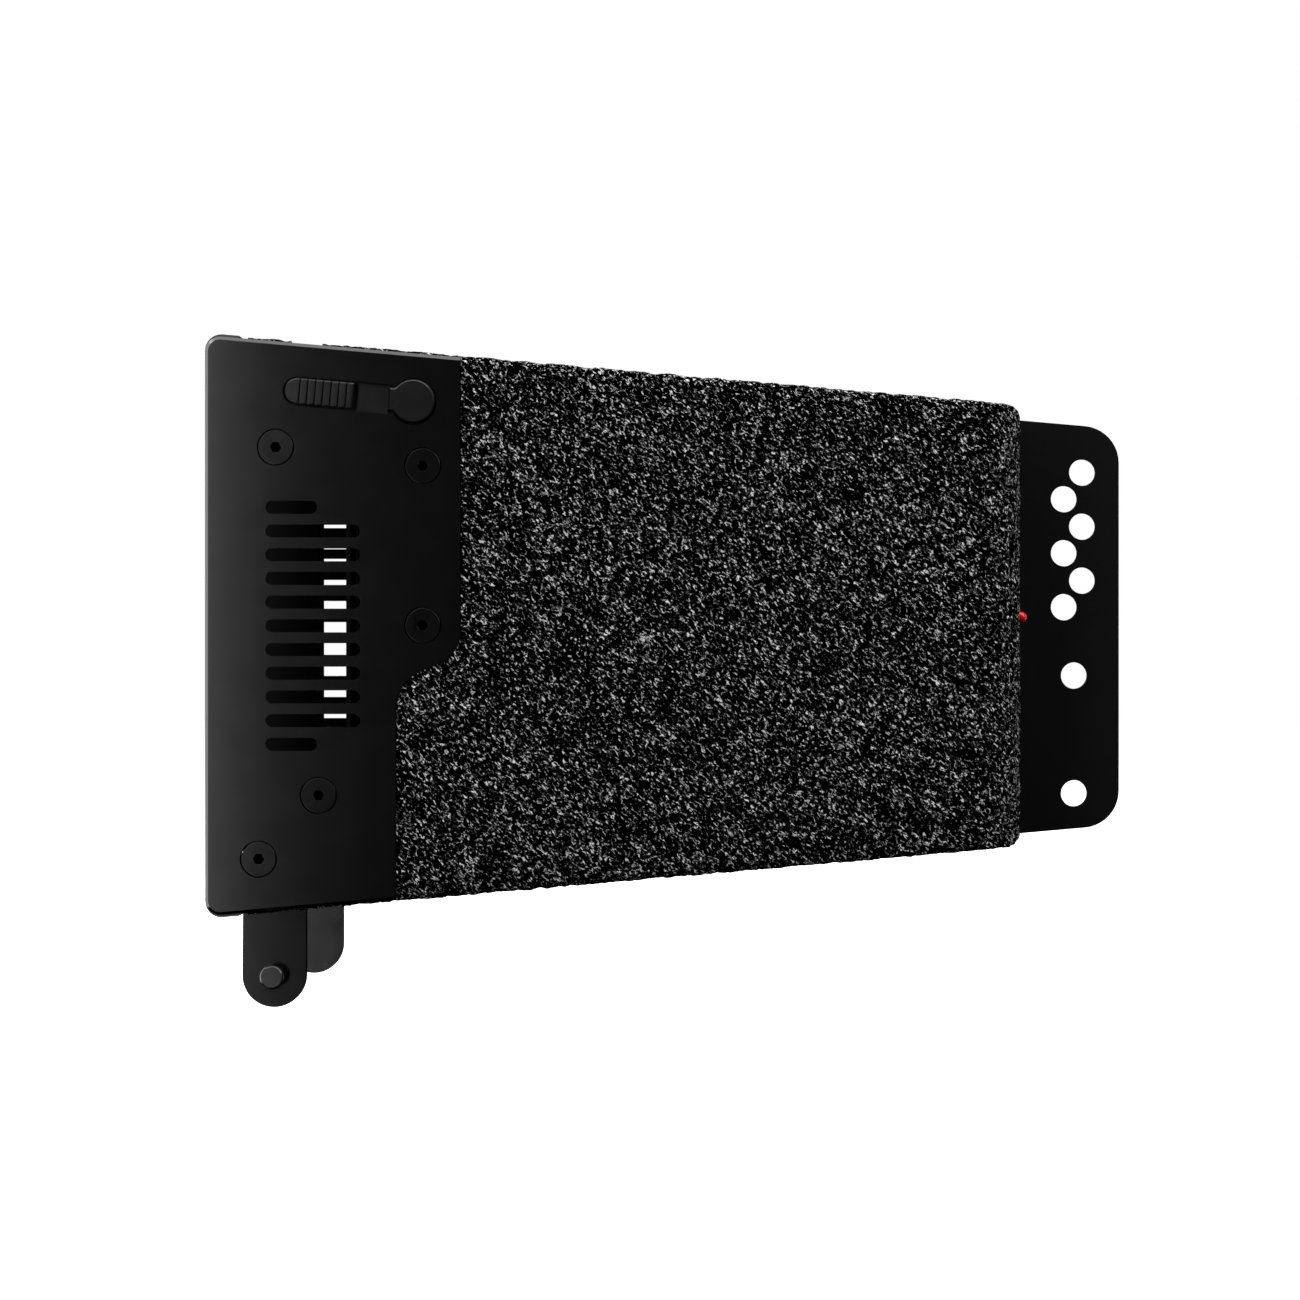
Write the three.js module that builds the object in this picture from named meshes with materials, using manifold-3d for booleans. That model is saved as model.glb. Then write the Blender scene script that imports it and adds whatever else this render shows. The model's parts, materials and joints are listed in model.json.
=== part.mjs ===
// A slim case that holds a small computer and its power supply beside a desk leg.
// Two half shells are clamped on a flat steel spine. The spine's bare end bolts to the desk,
// the open end faces -X, and two studded arms under the open end hook into a rail.
// Everything is in millimetres. While the parts are made, x is 0 at the open end, y is 0 at the
// front face and z is 0 at mid height; the group at the end moves the origin to the desk mount.

import * as THREE from "three";
import { mergeVertices } from "three/addons/utils/BufferGeometryUtils.js";
import Module from "manifold-3d";

const wasm = await Module();
wasm.setup();

// ---------- driving dimensions ----------

const LENGTH = 247.2; // open end to the closed end
const DEPTH = 90; // front face to rear face
const HALF_HEIGHT = 88.3; // at the open end
const TAPER = THREE.MathUtils.degToRad(5); // top and bottom edges close in on the middle line
const COVER = 2.2; // plates and grip skins
const SHELL = 3; // wall of the moulded half shells
const GAP = 0.25; // between pieces that touch
const CORNER = 5; // corner radius seen from the front
const END_RADIUS = 16; // upright edges of the closed end, seen from above
const EDGE_ROUND = 3; // long top and bottom edges of the grip skin
const PLATE_INSET = 0.4; // cover plates stop this far inside the skin's outline
const PLATE_CHAMFER = 1.2;

const BEZEL = { length: 10.2, wall: 10, depthWall: 6, corner: 4 };
const BEZEL_SCREW = {
  y: 35,
  z: 82.4,
  head: 2.8,
  headHeight: 2,
  headDeep: 2.6,
  sunk: 0.3,
  shank: 1.4,
  bore: 1.7,
  length: 21,
  socket: 1.25,
  socketDepth: 1.2,
};
const BOSS = { x1: 25, half: 4, z0: 78.6, z1: 83.5 };
const SHELL_START = 13; // a dark groove is left between the bezel and the shells

const SPINE = { thickness: 2, start: 3.5, end: 282.4, inset: 0.6, corner: 11.8, mouthHalf: 77.5 };
const HOLE_RADIUS = 4.2;
const ZIGZAG = { right: 270.8, left: 265, top: 49.15, pitch: 17.2, drop: 8.45, rows: 3 };
const LOWER_HOLES = { x: 268.2, z: [-15.5, -53] };
const MOUNT_POINT = { x: 279.9, z: -21.6 };

const SLOT = { left: 18.7, shortRight: 34.2, longRight: 47.1, height: 3.9, pitch: 7.11, count: 11 };
const VENT_OPENING = { left: 16.7, right: 49.1, halfHeight: 39.5, corner: 3 };
const WINDOW = { left: 28.2, right: 37.3, halfHeight: 36.5, corner: 2.5, lip: 3.2, depth: 14, lipDepth: 1.6 };

// The cover plates' right edge steps from upperX down to lowerX between these two heights.
const STEP = {
  upperX: 77.1,
  upperZ: -8.6,
  upperRadius: 10.5,
  lowerX: 57.75,
  lowerZ: -16.8,
  lowerRadius: 12,
};

const SCREW = {
  head: 5.45,
  seat: 5.65,
  rim: 0.6,
  edge: 0.25,
  headHeight: 2,
  sunk: 0.1,
  shank: 2.4,
  bore: 2.75,
  hexFlats: 3,
  hexDepth: 1.5,
  shortLength: 9.6,
  longLength: 13,
};
const NUT = { flange: 5, flangeHeight: 1.2, body: 4, bore: 2.6, height: 4.4 };
const PLAIN_SCREWS = [
  [21.7, 53.6],
  [65.9, 48],
  [65.9, 0.1],
];
const ARM_SCREWS = [
  [34.6, -50.9],
  [16.6, -70],
];

const ARM = { left: 10.7, right: 29.9, centreZ: -105.7, thickness: 3, topLeft: 28, topRight: 42, topZ: -43 };
const ARM_WAIST = { leftX: 11.05, leftZ: -62, rightZ: -58, straightZ: -70 };
const STUD = { radius: 3.65, neck: 2.6, length: 4.5, chamfer: 0.4, neckDepth: 2, holeDepth: 2.2 };

const LATCH = {
  start: [28.26, 70.4], // centre of the slider's round end at rest
  buttonAt: 34.9, // along the track, from the slider's round end to the lock button
  slotHalf: 4.2,
  buttonRadius: 6.5,
  neckLeft: 7.4,
  neckHalf: 3.4,
  neckFillet: 1.6,
  sliderHalf: 3.9,
  sliderRight: 16.9,
  gap: 0.35,
  proud: 0.8,
  travel: 9.6,
};
const RIBS = { count: 7, pitch: 2.34, groove: 0.5, depth: 0.8 };
const STEM = { left: -2.2, right: 3.2, half: 2.2, end: 9, screwAt: 0.5, thread: 1.25, threadDepth: 4 };
const BUTTON_BACK = { stem: 5.2, stemEnd: 3.8, flange: 7.6, end: 4.8 };
const BUTTON_SPRING = { radius: 5, wall: 0.7, clear: 0.1 };
const BOLT = { left: -14, right: 8, half: 3, front: 9.2, back: 11.2 };
const NOSE = { right: -3.6, top: 9.4, back: 17 };
const BOLT_SCREW = { start: 5.6, shank: 1.05, bore: 1.3, head: 2.2, neck: 5.8, length: 6.6 };
const DETENT = { front: 9.4, back: 11, thickness: 0.5 };
const NOTCH = { left: 25.8, right: 35.4, back: 32, floor: 78 };
const PAN = { thickness: 1, grow: 2.2, throughGrow: 1.15 }; // how far it reaches past the visible track
const COVER_PLATE = {
  front: 12.4,
  thickness: 1.2,
  left: -12,
  right: 44.4,
  bottom: -12,
  top: 2.6,
  corner: 2,
};
const COVER_POST = { radius: 2.6, bore: 1.3, plateBore: 1.5 };
const COVER_SCREW = { start: 7, shank: 1.1, head: 2.4, headHeight: 1.4 };
const COVER_SCREWS = [
  [-7.5, -9.2],
  [22.5, -9.2],
];

const RED = {
  y: 22,
  z: 2.8,
  radius: 1.75,
  proud: 2.9,
  head: 3,
  headHeight: 1.5,
  bushing: 5,
  wallInside: 3.4,
  nose: 3,
  flange: 6.5,
  flangeHeight: 2,
  back: 18,
  bore: 13,
  cap: 1.6,
  capPlug: 3.2,
};
const RED_SPRING = { radius: 2.8, wall: 0.6, clear: 0.1 };

const PAD = { thickness: 3, left: 62, right: 222, margin: 16, corner: 4 };
const CASE_SCREWS = [
  [92, 1],
  [208, 1],
  [92, -1],
  [208, -1],
];
const LUG = { half: 7, reach: 11, thickness: 4, screwDown: 9.5, wallSunk: 1 };
const CASE_SCREW = { head: 3.8, headHeight: 3, shank: 2, bore: 2.3, clear: 0.2, tip: 0.3 };

// ---------- derived dimensions ----------

const COVERED = COVER + GAP; // the shell's outer face
const INNER = COVERED + SHELL; // the shell's inner face
const END_INNER = LENGTH - INNER; // the closed end's inner face
const ARM_FRONT = INNER + GAP;
const ARM_BACK = ARM_FRONT + ARM.thickness;
const SPINE_FRONT = (DEPTH - SPINE.thickness) / 2;
const HALF_END = SPINE_FRONT - GAP; // where each half stops short of the spine

const halfHeight = (x) => HALF_HEIGHT - Math.tan(TAPER) * x;
const caseScrewZ = (x, side) => side * (halfHeight(x) - LUG.screwDown);

// ---------- materials ----------

function finish(color, roughness, metalness) {
  return new THREE.MeshStandardMaterial({ color, roughness, metalness });
}

const SATIN_BLACK = finish(0x161616, 0.45, 0.3);
const FLAT_BLACK = finish(0x0d0d0d, 0.6, 0.3);
const GRIP_BLACK = finish(0x1a1a1a, 0.9, 0);
const MOULDED_BLACK = finish(0x141414, 0.7, 0);
const SATIN_END = finish(0x262626, 0.35, 0.3);
const SCREW_BLACK = finish(0x101010, 0.4, 0.8);
const STEEL = finish(0x9a9a9a, 0.35, 0.9);
const SIGNAL_RED = finish(0xd81f2a, 0.35, 0);
const FOAM = finish(0x1c1c1e, 1, 0);

// ---------- solids ----------

function solid(geometry) {
  const bare = new THREE.BufferGeometry().setAttribute("position", geometry.getAttribute("position"));
  if (geometry.index) bare.setIndex(geometry.index);
  const merged = mergeVertices(bare, 1e-4);
  return new wasm.Manifold(
    new wasm.Mesh({
      numProp: 3,
      vertProperties: merged.attributes.position.array,
      triVerts: new Uint32Array(merged.index.array),
    }),
  );
}

const cut = (body, ...tools) => tools.reduce((rest, tool) => rest.subtract(tool), body);
const join = (body, ...more) => more.reduce((whole, piece) => whole.add(piece), body);

function box(x0, x1, y0, y1, z0, z1) {
  const geometry = new THREE.BoxGeometry(x1 - x0, y1 - y0, z1 - z0);
  return solid(geometry.translate((x0 + x1) / 2, (y0 + y1) / 2, (z0 + z1) / 2));
}

// A front-view outline pushed from one depth to another.
function prism(shape, y0, y1, curveSegments = 3) {
  const geometry = new THREE.ExtrudeGeometry(shape, { depth: y1 - y0, bevelEnabled: false, curveSegments });
  return solid(geometry.rotateX(Math.PI / 2).translate(0, y1, 0));
}

// A profile of [radius, height] points spun about the depth axis, its height running along +Y.
function turned(profile, x, y, z, segments = 16) {
  const points = profile.map(([radius, height]) => new THREE.Vector2(radius, height));
  return solid(new THREE.LatheGeometry(points, segments).translate(x, y, z));
}

function rod(radius, x, z, y0, y1, segments = 16) {
  const geometry = new THREE.CylinderGeometry(radius, radius, y1 - y0, segments);
  return solid(geometry.translate(x, (y0 + y1) / 2, z));
}

// The same profile spun about the length axis, its height running along +X.
function turnedAlongX(profile, x, y, z, segments = 12) {
  const points = profile.map(([radius, height]) => new THREE.Vector2(radius, height));
  return solid(new THREE.LatheGeometry(points, segments).rotateZ(-Math.PI / 2).translate(x, y, z));
}

// The rear half is the front half seen in the middle plane.
function mirrored(body) {
  return body.mirror([0, 1, 0]).translate([0, DEPTH, 0]);
}

// ---------- outlines ----------

// A closed outline through the given points, each with its own corner radius.
function rounded(points) {
  const shape = new THREE.Shape();
  const count = points.length;
  points.forEach(([x, z, radius = 0], i) => {
    const [px, pz] = points[(i + count - 1) % count];
    const [nx, nz] = points[(i + 1) % count];
    const corner = new THREE.Vector2(x, z);
    const before = new THREE.Vector2(px - x, pz - z).normalize();
    const after = new THREE.Vector2(nx - x, nz - z).normalize();
    const angle = Math.acos(THREE.MathUtils.clamp(before.dot(after), -1, 1));
    const back = radius / Math.tan(angle / 2);
    const start = corner.clone().addScaledVector(before, back);
    const end = corner.clone().addScaledVector(after, back);
    if (i === 0) shape.moveTo(start.x, start.y);
    else shape.lineTo(start.x, start.y);
    if (radius > 0) {
      const middle = before.clone().add(after).normalize();
      const centre = corner.clone().addScaledVector(middle, radius / Math.sin(angle / 2));
      const from = Math.atan2(start.y - centre.y, start.x - centre.x);
      const to = Math.atan2(end.y - centre.y, end.x - centre.x);
      const clockwise = before.x * after.y - before.y * after.x > 0;
      shape.absarc(centre.x, centre.y, radius, from, to, clockwise);
    }
  });
  shape.closePath();
  return shape;
}

// The tapered case outline between two x positions, moved inwards by an inset.
function taperedOutline(x0, x1, inset, leftRadius, rightRadius) {
  const top0 = halfHeight(x0) - inset;
  const top1 = halfHeight(x1) - inset;
  return rounded([
    [x0, -top0, leftRadius],
    [x1, -top1, rightRadius],
    [x1, top1, rightRadius],
    [x0, top0, leftRadius],
  ]);
}

function stadium(left, right, z, half) {
  const shape = new THREE.Shape();
  shape.absarc(left + half, z, half, Math.PI / 2, (3 * Math.PI) / 2, false);
  shape.absarc(right - half, z, half, -Math.PI / 2, Math.PI / 2, false);
  shape.closePath();
  return shape;
}

function tallRound(left, right, halfTall, radius) {
  return rounded([
    [left, -halfTall, radius],
    [right, -halfTall, radius],
    [right, halfTall, radius],
    [left, halfTall, radius],
  ]);
}

// The case body at an inset from its outer surface, rounded along its edges and its closed end.
function caseBody(inset) {
  const right = LENGTH - inset;
  const round = Math.max(EDGE_ROUND - inset, 0.4);
  const corner = Math.max(CORNER - inset, 1);
  const outline = taperedOutline(inset, right, inset, corner, corner);
  const geometry = new THREE.ExtrudeGeometry(outline, {
    depth: DEPTH - 2 * inset - 2 * round,
    bevelThickness: round,
    bevelSize: round,
    bevelOffset: -round,
    bevelSegments: 2,
    curveSegments: 2,
  });
  const body = solid(geometry.rotateX(Math.PI / 2).translate(0, DEPTH - inset - round, 0));
  const plan = new THREE.Shape();
  const radius = END_RADIUS - inset;
  plan.moveTo(inset - 1, inset - 1);
  plan.lineTo(right - radius, inset - 1);
  plan.lineTo(right - radius, inset);
  plan.absarc(right - radius, inset + radius, radius, -Math.PI / 2, 0, false);
  plan.absarc(right - radius, DEPTH - inset - radius, radius, 0, Math.PI / 2, false);
  plan.lineTo(right - radius, DEPTH - inset + 1);
  plan.lineTo(inset - 1, DEPTH - inset + 1);
  plan.closePath();
  const column = new THREE.ExtrudeGeometry(plan, { depth: 200, bevelEnabled: false, curveSegments: 4 });
  return body.intersect(solid(column.translate(0, 0, -100)));
}

// The cover plates' right edge is straight, steps to the left in an S, and is straight again.
function plateOutline(grow, overshoot = 0) {
  const left = PLATE_INSET - grow;
  const upperX = STEP.upperX + grow;
  const lowerX = STEP.lowerX + grow;
  const inset = PLATE_INSET - grow - overshoot;
  return rounded([
    [left, -halfHeight(left) + inset, CORNER - PLATE_INSET],
    [lowerX, -halfHeight(lowerX) + inset, 0],
    [lowerX, STEP.lowerZ, STEP.lowerRadius],
    [upperX, STEP.upperZ, STEP.upperRadius],
    [upperX, halfHeight(upperX) - inset, 0],
    [left, halfHeight(left) - inset, CORNER - PLATE_INSET],
  ]);
}

// ---------- latch outlines, in the track's own tilted frame ----------

function onTrack(body) {
  const [x, z] = LATCH.start;
  return body.rotate([0, THREE.MathUtils.radToDeg(TAPER), 0]).translate([x, 0, z]);
}

function sliderOutline(grow, right) {
  const half = LATCH.sliderHalf + grow;
  const shape = new THREE.Shape();
  shape.absarc(0, 0, half, Math.PI / 2, (3 * Math.PI) / 2, false);
  shape.lineTo(right, -half);
  shape.lineTo(right, half);
  shape.closePath();
  return shape;
}

// A disc with a short straight neck towards the slider.
function buttonOutline(grow) {
  const centre = LATCH.buttonAt;
  const radius = LATCH.buttonRadius + grow;
  const half = LATCH.neckHalf + grow;
  const left = centre - LATCH.neckLeft - grow;
  const reach = radius + LATCH.neckFillet;
  const lift = half + LATCH.neckFillet;
  const run = Math.sqrt(reach * reach - lift * lift);
  const touch = Math.atan2(lift, -run);
  const shape = new THREE.Shape();
  shape.absarc(centre, 0, radius, -touch, touch, false);
  shape.absarc(centre - run, lift, LATCH.neckFillet, touch - Math.PI, -Math.PI / 2, true);
  shape.lineTo(left, half);
  shape.lineTo(left, -half);
  shape.absarc(centre - run, -lift, LATCH.neckFillet, Math.PI / 2, Math.PI - touch, true);
  shape.closePath();
  return shape;
}

function latchWell(grow, y0, y1) {
  const track = stadium(-LATCH.slotHalf - grow, LATCH.buttonAt, 0, LATCH.slotHalf + grow);
  const disc = rod(LATCH.buttonRadius + LATCH.gap + grow, LATCH.buttonAt, 0, y0, y1, 24);
  return onTrack(join(prism(track, y0, y1, 4), disc));
}

// ---------- shared holes ----------

function slotTools(y0, y1) {
  const middle = (SLOT.count - 1) / 2;
  return Array.from({ length: SLOT.count }, (_, i) => {
    const short = i === 0 || i === SLOT.count - 1;
    const z = (i - middle) * SLOT.pitch;
    const right = short ? SLOT.shortRight : SLOT.longRight;
    return prism(stadium(SLOT.left, right, z, SLOT.height / 2), y0, y1, 3);
  });
}

const allScrews = [...PLAIN_SCREWS, ...ARM_SCREWS];

function screwBores(y0, y1) {
  return allScrews.map(([x, z]) => rod(SCREW.bore, x, z, y0, y1, 10));
}

function bezelBores(radius) {
  const reach = BEZEL_SCREW.length + 2;
  const profile = [
    [0, 0],
    [radius, 0],
    [radius, reach],
    [0, reach],
  ];
  return [1, -1].map((side) => turnedAlongX(profile, -1, BEZEL_SCREW.y, side * BEZEL_SCREW.z, 8));
}

// ---------- the pieces ----------

function coverPlate(withLatch) {
  const outline = prism(plateOutline(0), 0, COVER, 4);
  const chamfered = solid(
    new THREE.ExtrudeGeometry(taperedOutline(PLATE_INSET, LENGTH, PLATE_INSET, CORNER - PLATE_INSET, 0), {
      depth: COVER,
      bevelThickness: PLATE_CHAMFER,
      bevelSize: PLATE_CHAMFER,
      bevelOffset: -PLATE_CHAMFER,
      bevelSegments: 1,
      curveSegments: 3,
    })
      .rotateX(Math.PI / 2)
      .translate(0, COVER + PLATE_CHAMFER, 0),
  );
  const seats = allScrews.map(([x, z]) => rod(SCREW.seat, x, z, -1, COVER + 1, 20));
  const plate = cut(outline.intersect(chamfered), ...slotTools(-1, COVER + 1), ...seats);
  return withLatch ? plate.subtract(latchWell(0, -1, COVER + 1)) : plate;
}

const notchCut = () => box(NOTCH.left, NOTCH.right, -1, NOTCH.back, NOTCH.floor, 100);
const armRoom = () => box(0, ARM.right + GAP, ARM_FRONT - GAP, ARM_BACK + GAP, -100, -50);

function gripSkin() {
  const half = box(SHELL_START, LENGTH + 1, -1, HALF_END, -100, 100);
  const wall = caseBody(0).subtract(caseBody(COVER)).intersect(half);
  const plateRoom = prism(plateOutline(GAP, 3), -1, COVERED, 4);
  return cut(wall, plateRoom, armRoom());
}

function halfShell() {
  const half = box(SHELL_START, LENGTH, -1, HALF_END, -100, 100);
  const wall = caseBody(COVERED).subtract(caseBody(INNER)).intersect(half);
  const lugs = CASE_SCREWS.map(([x, side]) => {
    const top = halfHeight(x) - COVERED - LUG.wallSunk;
    const z0 = side > 0 ? top - LUG.reach : -top;
    return box(x - LUG.half, x + LUG.half, HALF_END - LUG.thickness, HALF_END, z0, z0 + LUG.reach);
  });
  const lugBores = CASE_SCREWS.map(([x, side]) => {
    return rod(CASE_SCREW.bore, x, caseScrewZ(x, side), HALF_END - LUG.thickness - 1, DEPTH / 2, 8);
  });
  const vents = prism(
    rounded([
      [VENT_OPENING.left, -VENT_OPENING.halfHeight, VENT_OPENING.corner],
      [VENT_OPENING.right, -VENT_OPENING.halfHeight, VENT_OPENING.corner],
      [VENT_OPENING.right, VENT_OPENING.halfHeight, VENT_OPENING.corner],
      [VENT_OPENING.left, VENT_OPENING.halfHeight, VENT_OPENING.corner],
    ]),
    0,
    INNER + 1,
    1,
  );
  const bosses = [1, -1].map((side) => {
    const [low, high] = side > 0 ? [BOSS.z0, BOSS.z1] : [-BOSS.z1, -BOSS.z0];
    return box(SHELL_START, BOSS.x1, BEZEL_SCREW.y - BOSS.half, BEZEL_SCREW.y + BOSS.half, low, high);
  });
  const tools = [...lugBores, ...bezelBores(BEZEL_SCREW.bore), ...screwBores(0, INNER + 1)];
  return cut(join(wall, ...lugs, ...bosses), vents, armRoom(), ...tools);
}

function spinePlate() {
  const outline = rounded([
    [SPINE.start, -SPINE.mouthHalf, 3],
    [SHELL_START, -SPINE.mouthHalf],
    [SHELL_START, -halfHeight(SHELL_START) + SPINE.inset],
    [SPINE.end, -halfHeight(SPINE.end) + SPINE.inset, SPINE.corner],
    [SPINE.end, halfHeight(SPINE.end) - SPINE.inset, SPINE.corner],
    [SHELL_START, halfHeight(SHELL_START) - SPINE.inset],
    [SHELL_START, SPINE.mouthHalf],
    [SPINE.start, SPINE.mouthHalf, 3],
  ]);
  const y0 = SPINE_FRONT;
  const y1 = SPINE_FRONT + SPINE.thickness;
  const drill = (x, z) => rod(HOLE_RADIUS, x, z, y0 - 1, y1 + 1, 20);
  const holes = [];
  for (let row = 0; row < ZIGZAG.rows; row += 1) {
    const z = ZIGZAG.top - row * ZIGZAG.pitch;
    holes.push(drill(ZIGZAG.right, z), drill(ZIGZAG.left, z - ZIGZAG.drop));
  }
  LOWER_HOLES.z.forEach((z) => holes.push(drill(LOWER_HOLES.x, z)));
  const window = tallRound(
    WINDOW.left - WINDOW.lip / 2,
    WINDOW.right + WINDOW.lip / 2,
    WINDOW.halfHeight + WINDOW.lip / 2,
    WINDOW.corner + 1,
  );
  const caseHoles = CASE_SCREWS.map(([x, side]) => {
    return rod(CASE_SCREW.bore, x, caseScrewZ(x, side), y0 - 1, y1 + 1, 8);
  });
  return cut(prism(outline, y0, y1, 4), ...holes, ...caseHoles, prism(window, y0 - 1, y1 + 1, 2));
}

// A moulded frame snapped into the spine's window, with a lip on both sides.
function windowGrommet() {
  const ring = (grow, halfDepth) => {
    const corner = WINDOW.corner + grow / 2;
    const outline = tallRound(WINDOW.left - grow, WINDOW.right + grow, WINDOW.halfHeight + grow, corner);
    return prism(outline, DEPTH / 2 - halfDepth, DEPTH / 2 + halfDepth, 2);
  };
  const sleeve = ring(WINDOW.lip / 2 - GAP, WINDOW.depth / 2);
  const lipHalf = SPINE.thickness / 2 + GAP + WINDOW.lipDepth;
  const groove = ring(WINDOW.lip + 1, SPINE.thickness / 2 + GAP);
  const lips = ring(WINDOW.lip, lipHalf).subtract(groove);
  return join(sleeve, lips).subtract(ring(0, WINDOW.depth));
}

function endBezel() {
  const outer = caseBody(0).intersect(box(-1, BEZEL.length, COVERED, DEPTH - COVERED, -100, 100));
  const opening = new THREE.Shape();
  const half = halfHeight(0) - BEZEL.wall;
  const y0 = COVERED + BEZEL.depthWall;
  const y1 = DEPTH - y0;
  const r = BEZEL.corner;
  opening.moveTo(y0 + r, -half);
  opening.lineTo(y1 - r, -half);
  opening.absarc(y1 - r, -half + r, r, -Math.PI / 2, 0, false);
  opening.lineTo(y1, half - r);
  opening.absarc(y1 - r, half - r, r, 0, Math.PI / 2, false);
  opening.lineTo(y0 + r, half);
  opening.absarc(y0 + r, half - r, r, Math.PI / 2, Math.PI, false);
  opening.lineTo(y0, -half + r);
  opening.absarc(y0 + r, -half + r, r, Math.PI, (3 * Math.PI) / 2, false);
  const tunnel = new THREE.ExtrudeGeometry(opening, { depth: 20, bevelEnabled: false, curveSegments: 2 });
  tunnel.rotateX(Math.PI / 2).rotateZ(Math.PI / 2).translate(-5, 0, 0);
  const counterbores = [1, -1].map((side) =>
    turnedAlongX(
      [
        [0, 0],
        [BEZEL_SCREW.head + GAP, 0],
        [BEZEL_SCREW.head + GAP, BEZEL_SCREW.headDeep + 1],
        [0, BEZEL_SCREW.headDeep + 1],
      ],
      -1,
      BEZEL_SCREW.y,
      side * BEZEL_SCREW.z,
    ),
  );
  const holes = [...bezelBores(BEZEL_SCREW.bore), ...counterbores];
  return cut(outer, solid(tunnel), ...holes, ...holes.map(mirrored));
}

function bezelScrew(side) {
  const screw = turnedAlongX(
    [
      [0, 0],
      [BEZEL_SCREW.head, 0],
      [BEZEL_SCREW.head, BEZEL_SCREW.headHeight],
      [BEZEL_SCREW.shank, BEZEL_SCREW.headHeight],
      [BEZEL_SCREW.shank, BEZEL_SCREW.length],
      [0, BEZEL_SCREW.length],
    ],
    BEZEL_SCREW.sunk,
    BEZEL_SCREW.y,
    side * BEZEL_SCREW.z,
  );
  const { socket, socketDepth, sunk } = BEZEL_SCREW;
  const hexagon = new THREE.CylinderGeometry(socket, socket, 2 * socketDepth, 6).rotateZ(Math.PI / 2);
  return screw.subtract(solid(hexagon.translate(sunk, BEZEL_SCREW.y, side * BEZEL_SCREW.z)));
}

function coverScrew([x, z], length) {
  const body = turned(
    [
      [0, 0],
      [SCREW.head - SCREW.edge, 0],
      [SCREW.head, SCREW.edge],
      [SCREW.head, SCREW.rim],
      [SCREW.shank + 0.1, SCREW.headHeight],
      [SCREW.shank, length],
      [0, length],
    ],
    x,
    SCREW.sunk,
    z,
    20,
  );
  const acrossCorners = SCREW.hexFlats / Math.cos(Math.PI / 6) / 2;
  const socket = new THREE.CylinderGeometry(acrossCorners, acrossCorners, 2 * SCREW.hexDepth, 6);
  return body.subtract(solid(socket.rotateY(Math.PI / 2).translate(x, SCREW.sunk, z)));
}

function shellNut([x, z], y0) {
  return turned(
    [
      [NUT.bore, 0],
      [NUT.flange, 0],
      [NUT.flange, NUT.flangeHeight],
      [NUT.body, NUT.flangeHeight],
      [NUT.body, NUT.height],
      [NUT.bore, NUT.height],
      [NUT.bore, 0],
    ],
    x,
    y0,
    z,
    10,
  );
}

function hangerArm() {
  const half = (ARM.right - ARM.left) / 2;
  const centreX = (ARM.left + ARM.right) / 2;
  const shape = new THREE.Shape();
  shape.absarc(centreX, ARM.centreZ, half, Math.PI, 2 * Math.PI, false);
  shape.lineTo(ARM.right, ARM_WAIST.straightZ);
  shape.lineTo(ARM.topRight, ARM_WAIST.rightZ);
  shape.lineTo(ARM.topRight, ARM.topZ);
  shape.lineTo(ARM.topLeft, ARM.topZ);
  shape.lineTo(ARM_WAIST.leftX, ARM_WAIST.leftZ);
  shape.closePath();
  const bores = ARM_SCREWS.map(([x, z]) => rod(SCREW.bore, x, z, 0, 20, 10));
  const studHole = rod(STUD.neck + 0.1, centreX, ARM.centreZ, 0, ARM_FRONT + STUD.holeDepth, 16);
  return cut(prism(shape, ARM_FRONT, ARM_BACK, 5), ...bores, studHole);
}

function hangerStud() {
  const centreX = (ARM.left + ARM.right) / 2;
  return turned(
    [
      [0, 0],
      [STUD.radius - STUD.chamfer, 0],
      [STUD.radius, STUD.chamfer],
      [STUD.radius, STUD.length - GAP / 2],
      [STUD.neck, STUD.length - GAP / 2],
      [STUD.neck, STUD.length + STUD.neckDepth],
      [0, STUD.length + STUD.neckDepth],
    ],
    centreX,
    ARM_FRONT - STUD.length,
    ARM.centreZ,
    16,
  );
}

function latchTrack() {
  const y0 = COVERED;
  const y1 = y0 + PAN.thickness;
  const pan = latchWell(PAN.grow, y0, y1);
  const slotLeft = STEM.left - 1;
  const slotRight = STEM.right + LATCH.travel + 1;
  const stemSlot = prism(tallRound(slotLeft, slotRight, STEM.half + 0.4, 0.6), 0, 10, 1);
  const buttonHole = prism(buttonOutline(LATCH.gap), 0, 10, 4);
  return cut(pan, onTrack(join(stemSlot, buttonHole)));
}

function latchSlider() {
  const face = prism(sliderOutline(0, LATCH.sliderRight), -LATCH.proud, COVER - 0.1, 4);
  const grooves = Array.from({ length: RIBS.count }, (_, i) => {
    const x = LATCH.sliderRight - (i + 1) * RIBS.pitch;
    return box(x, x + RIBS.groove, -LATCH.proud - 1, -LATCH.proud + RIBS.depth, -6, 6);
  });
  const stem = box(STEM.left, STEM.right, COVER - 0.2, STEM.end, -STEM.half, STEM.half);
  const thread = rod(STEM.thread, STEM.screwAt, 0, STEM.end - STEM.threadDepth, STEM.end + 1, 12);
  return onTrack(cut(join(cut(face, ...grooves), stem), thread));
}

// The carrier plate behind the track, with a nose that slides across the notch in the top wall.
function latchBolt() {
  const carrier = box(BOLT.left, BOLT.right, BOLT.front, BOLT.back, -BOLT.half, BOLT.half);
  const nose = box(BOLT.left, NOSE.right, BOLT.front, NOSE.back, BOLT.half - 0.01, NOSE.top);
  const screwHole = rod(BOLT_SCREW.bore, STEM.screwAt, 0, BOLT.front - 1, BOLT.back + 1, 12);
  return onTrack(cut(join(carrier, nose), screwHole));
}

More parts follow.
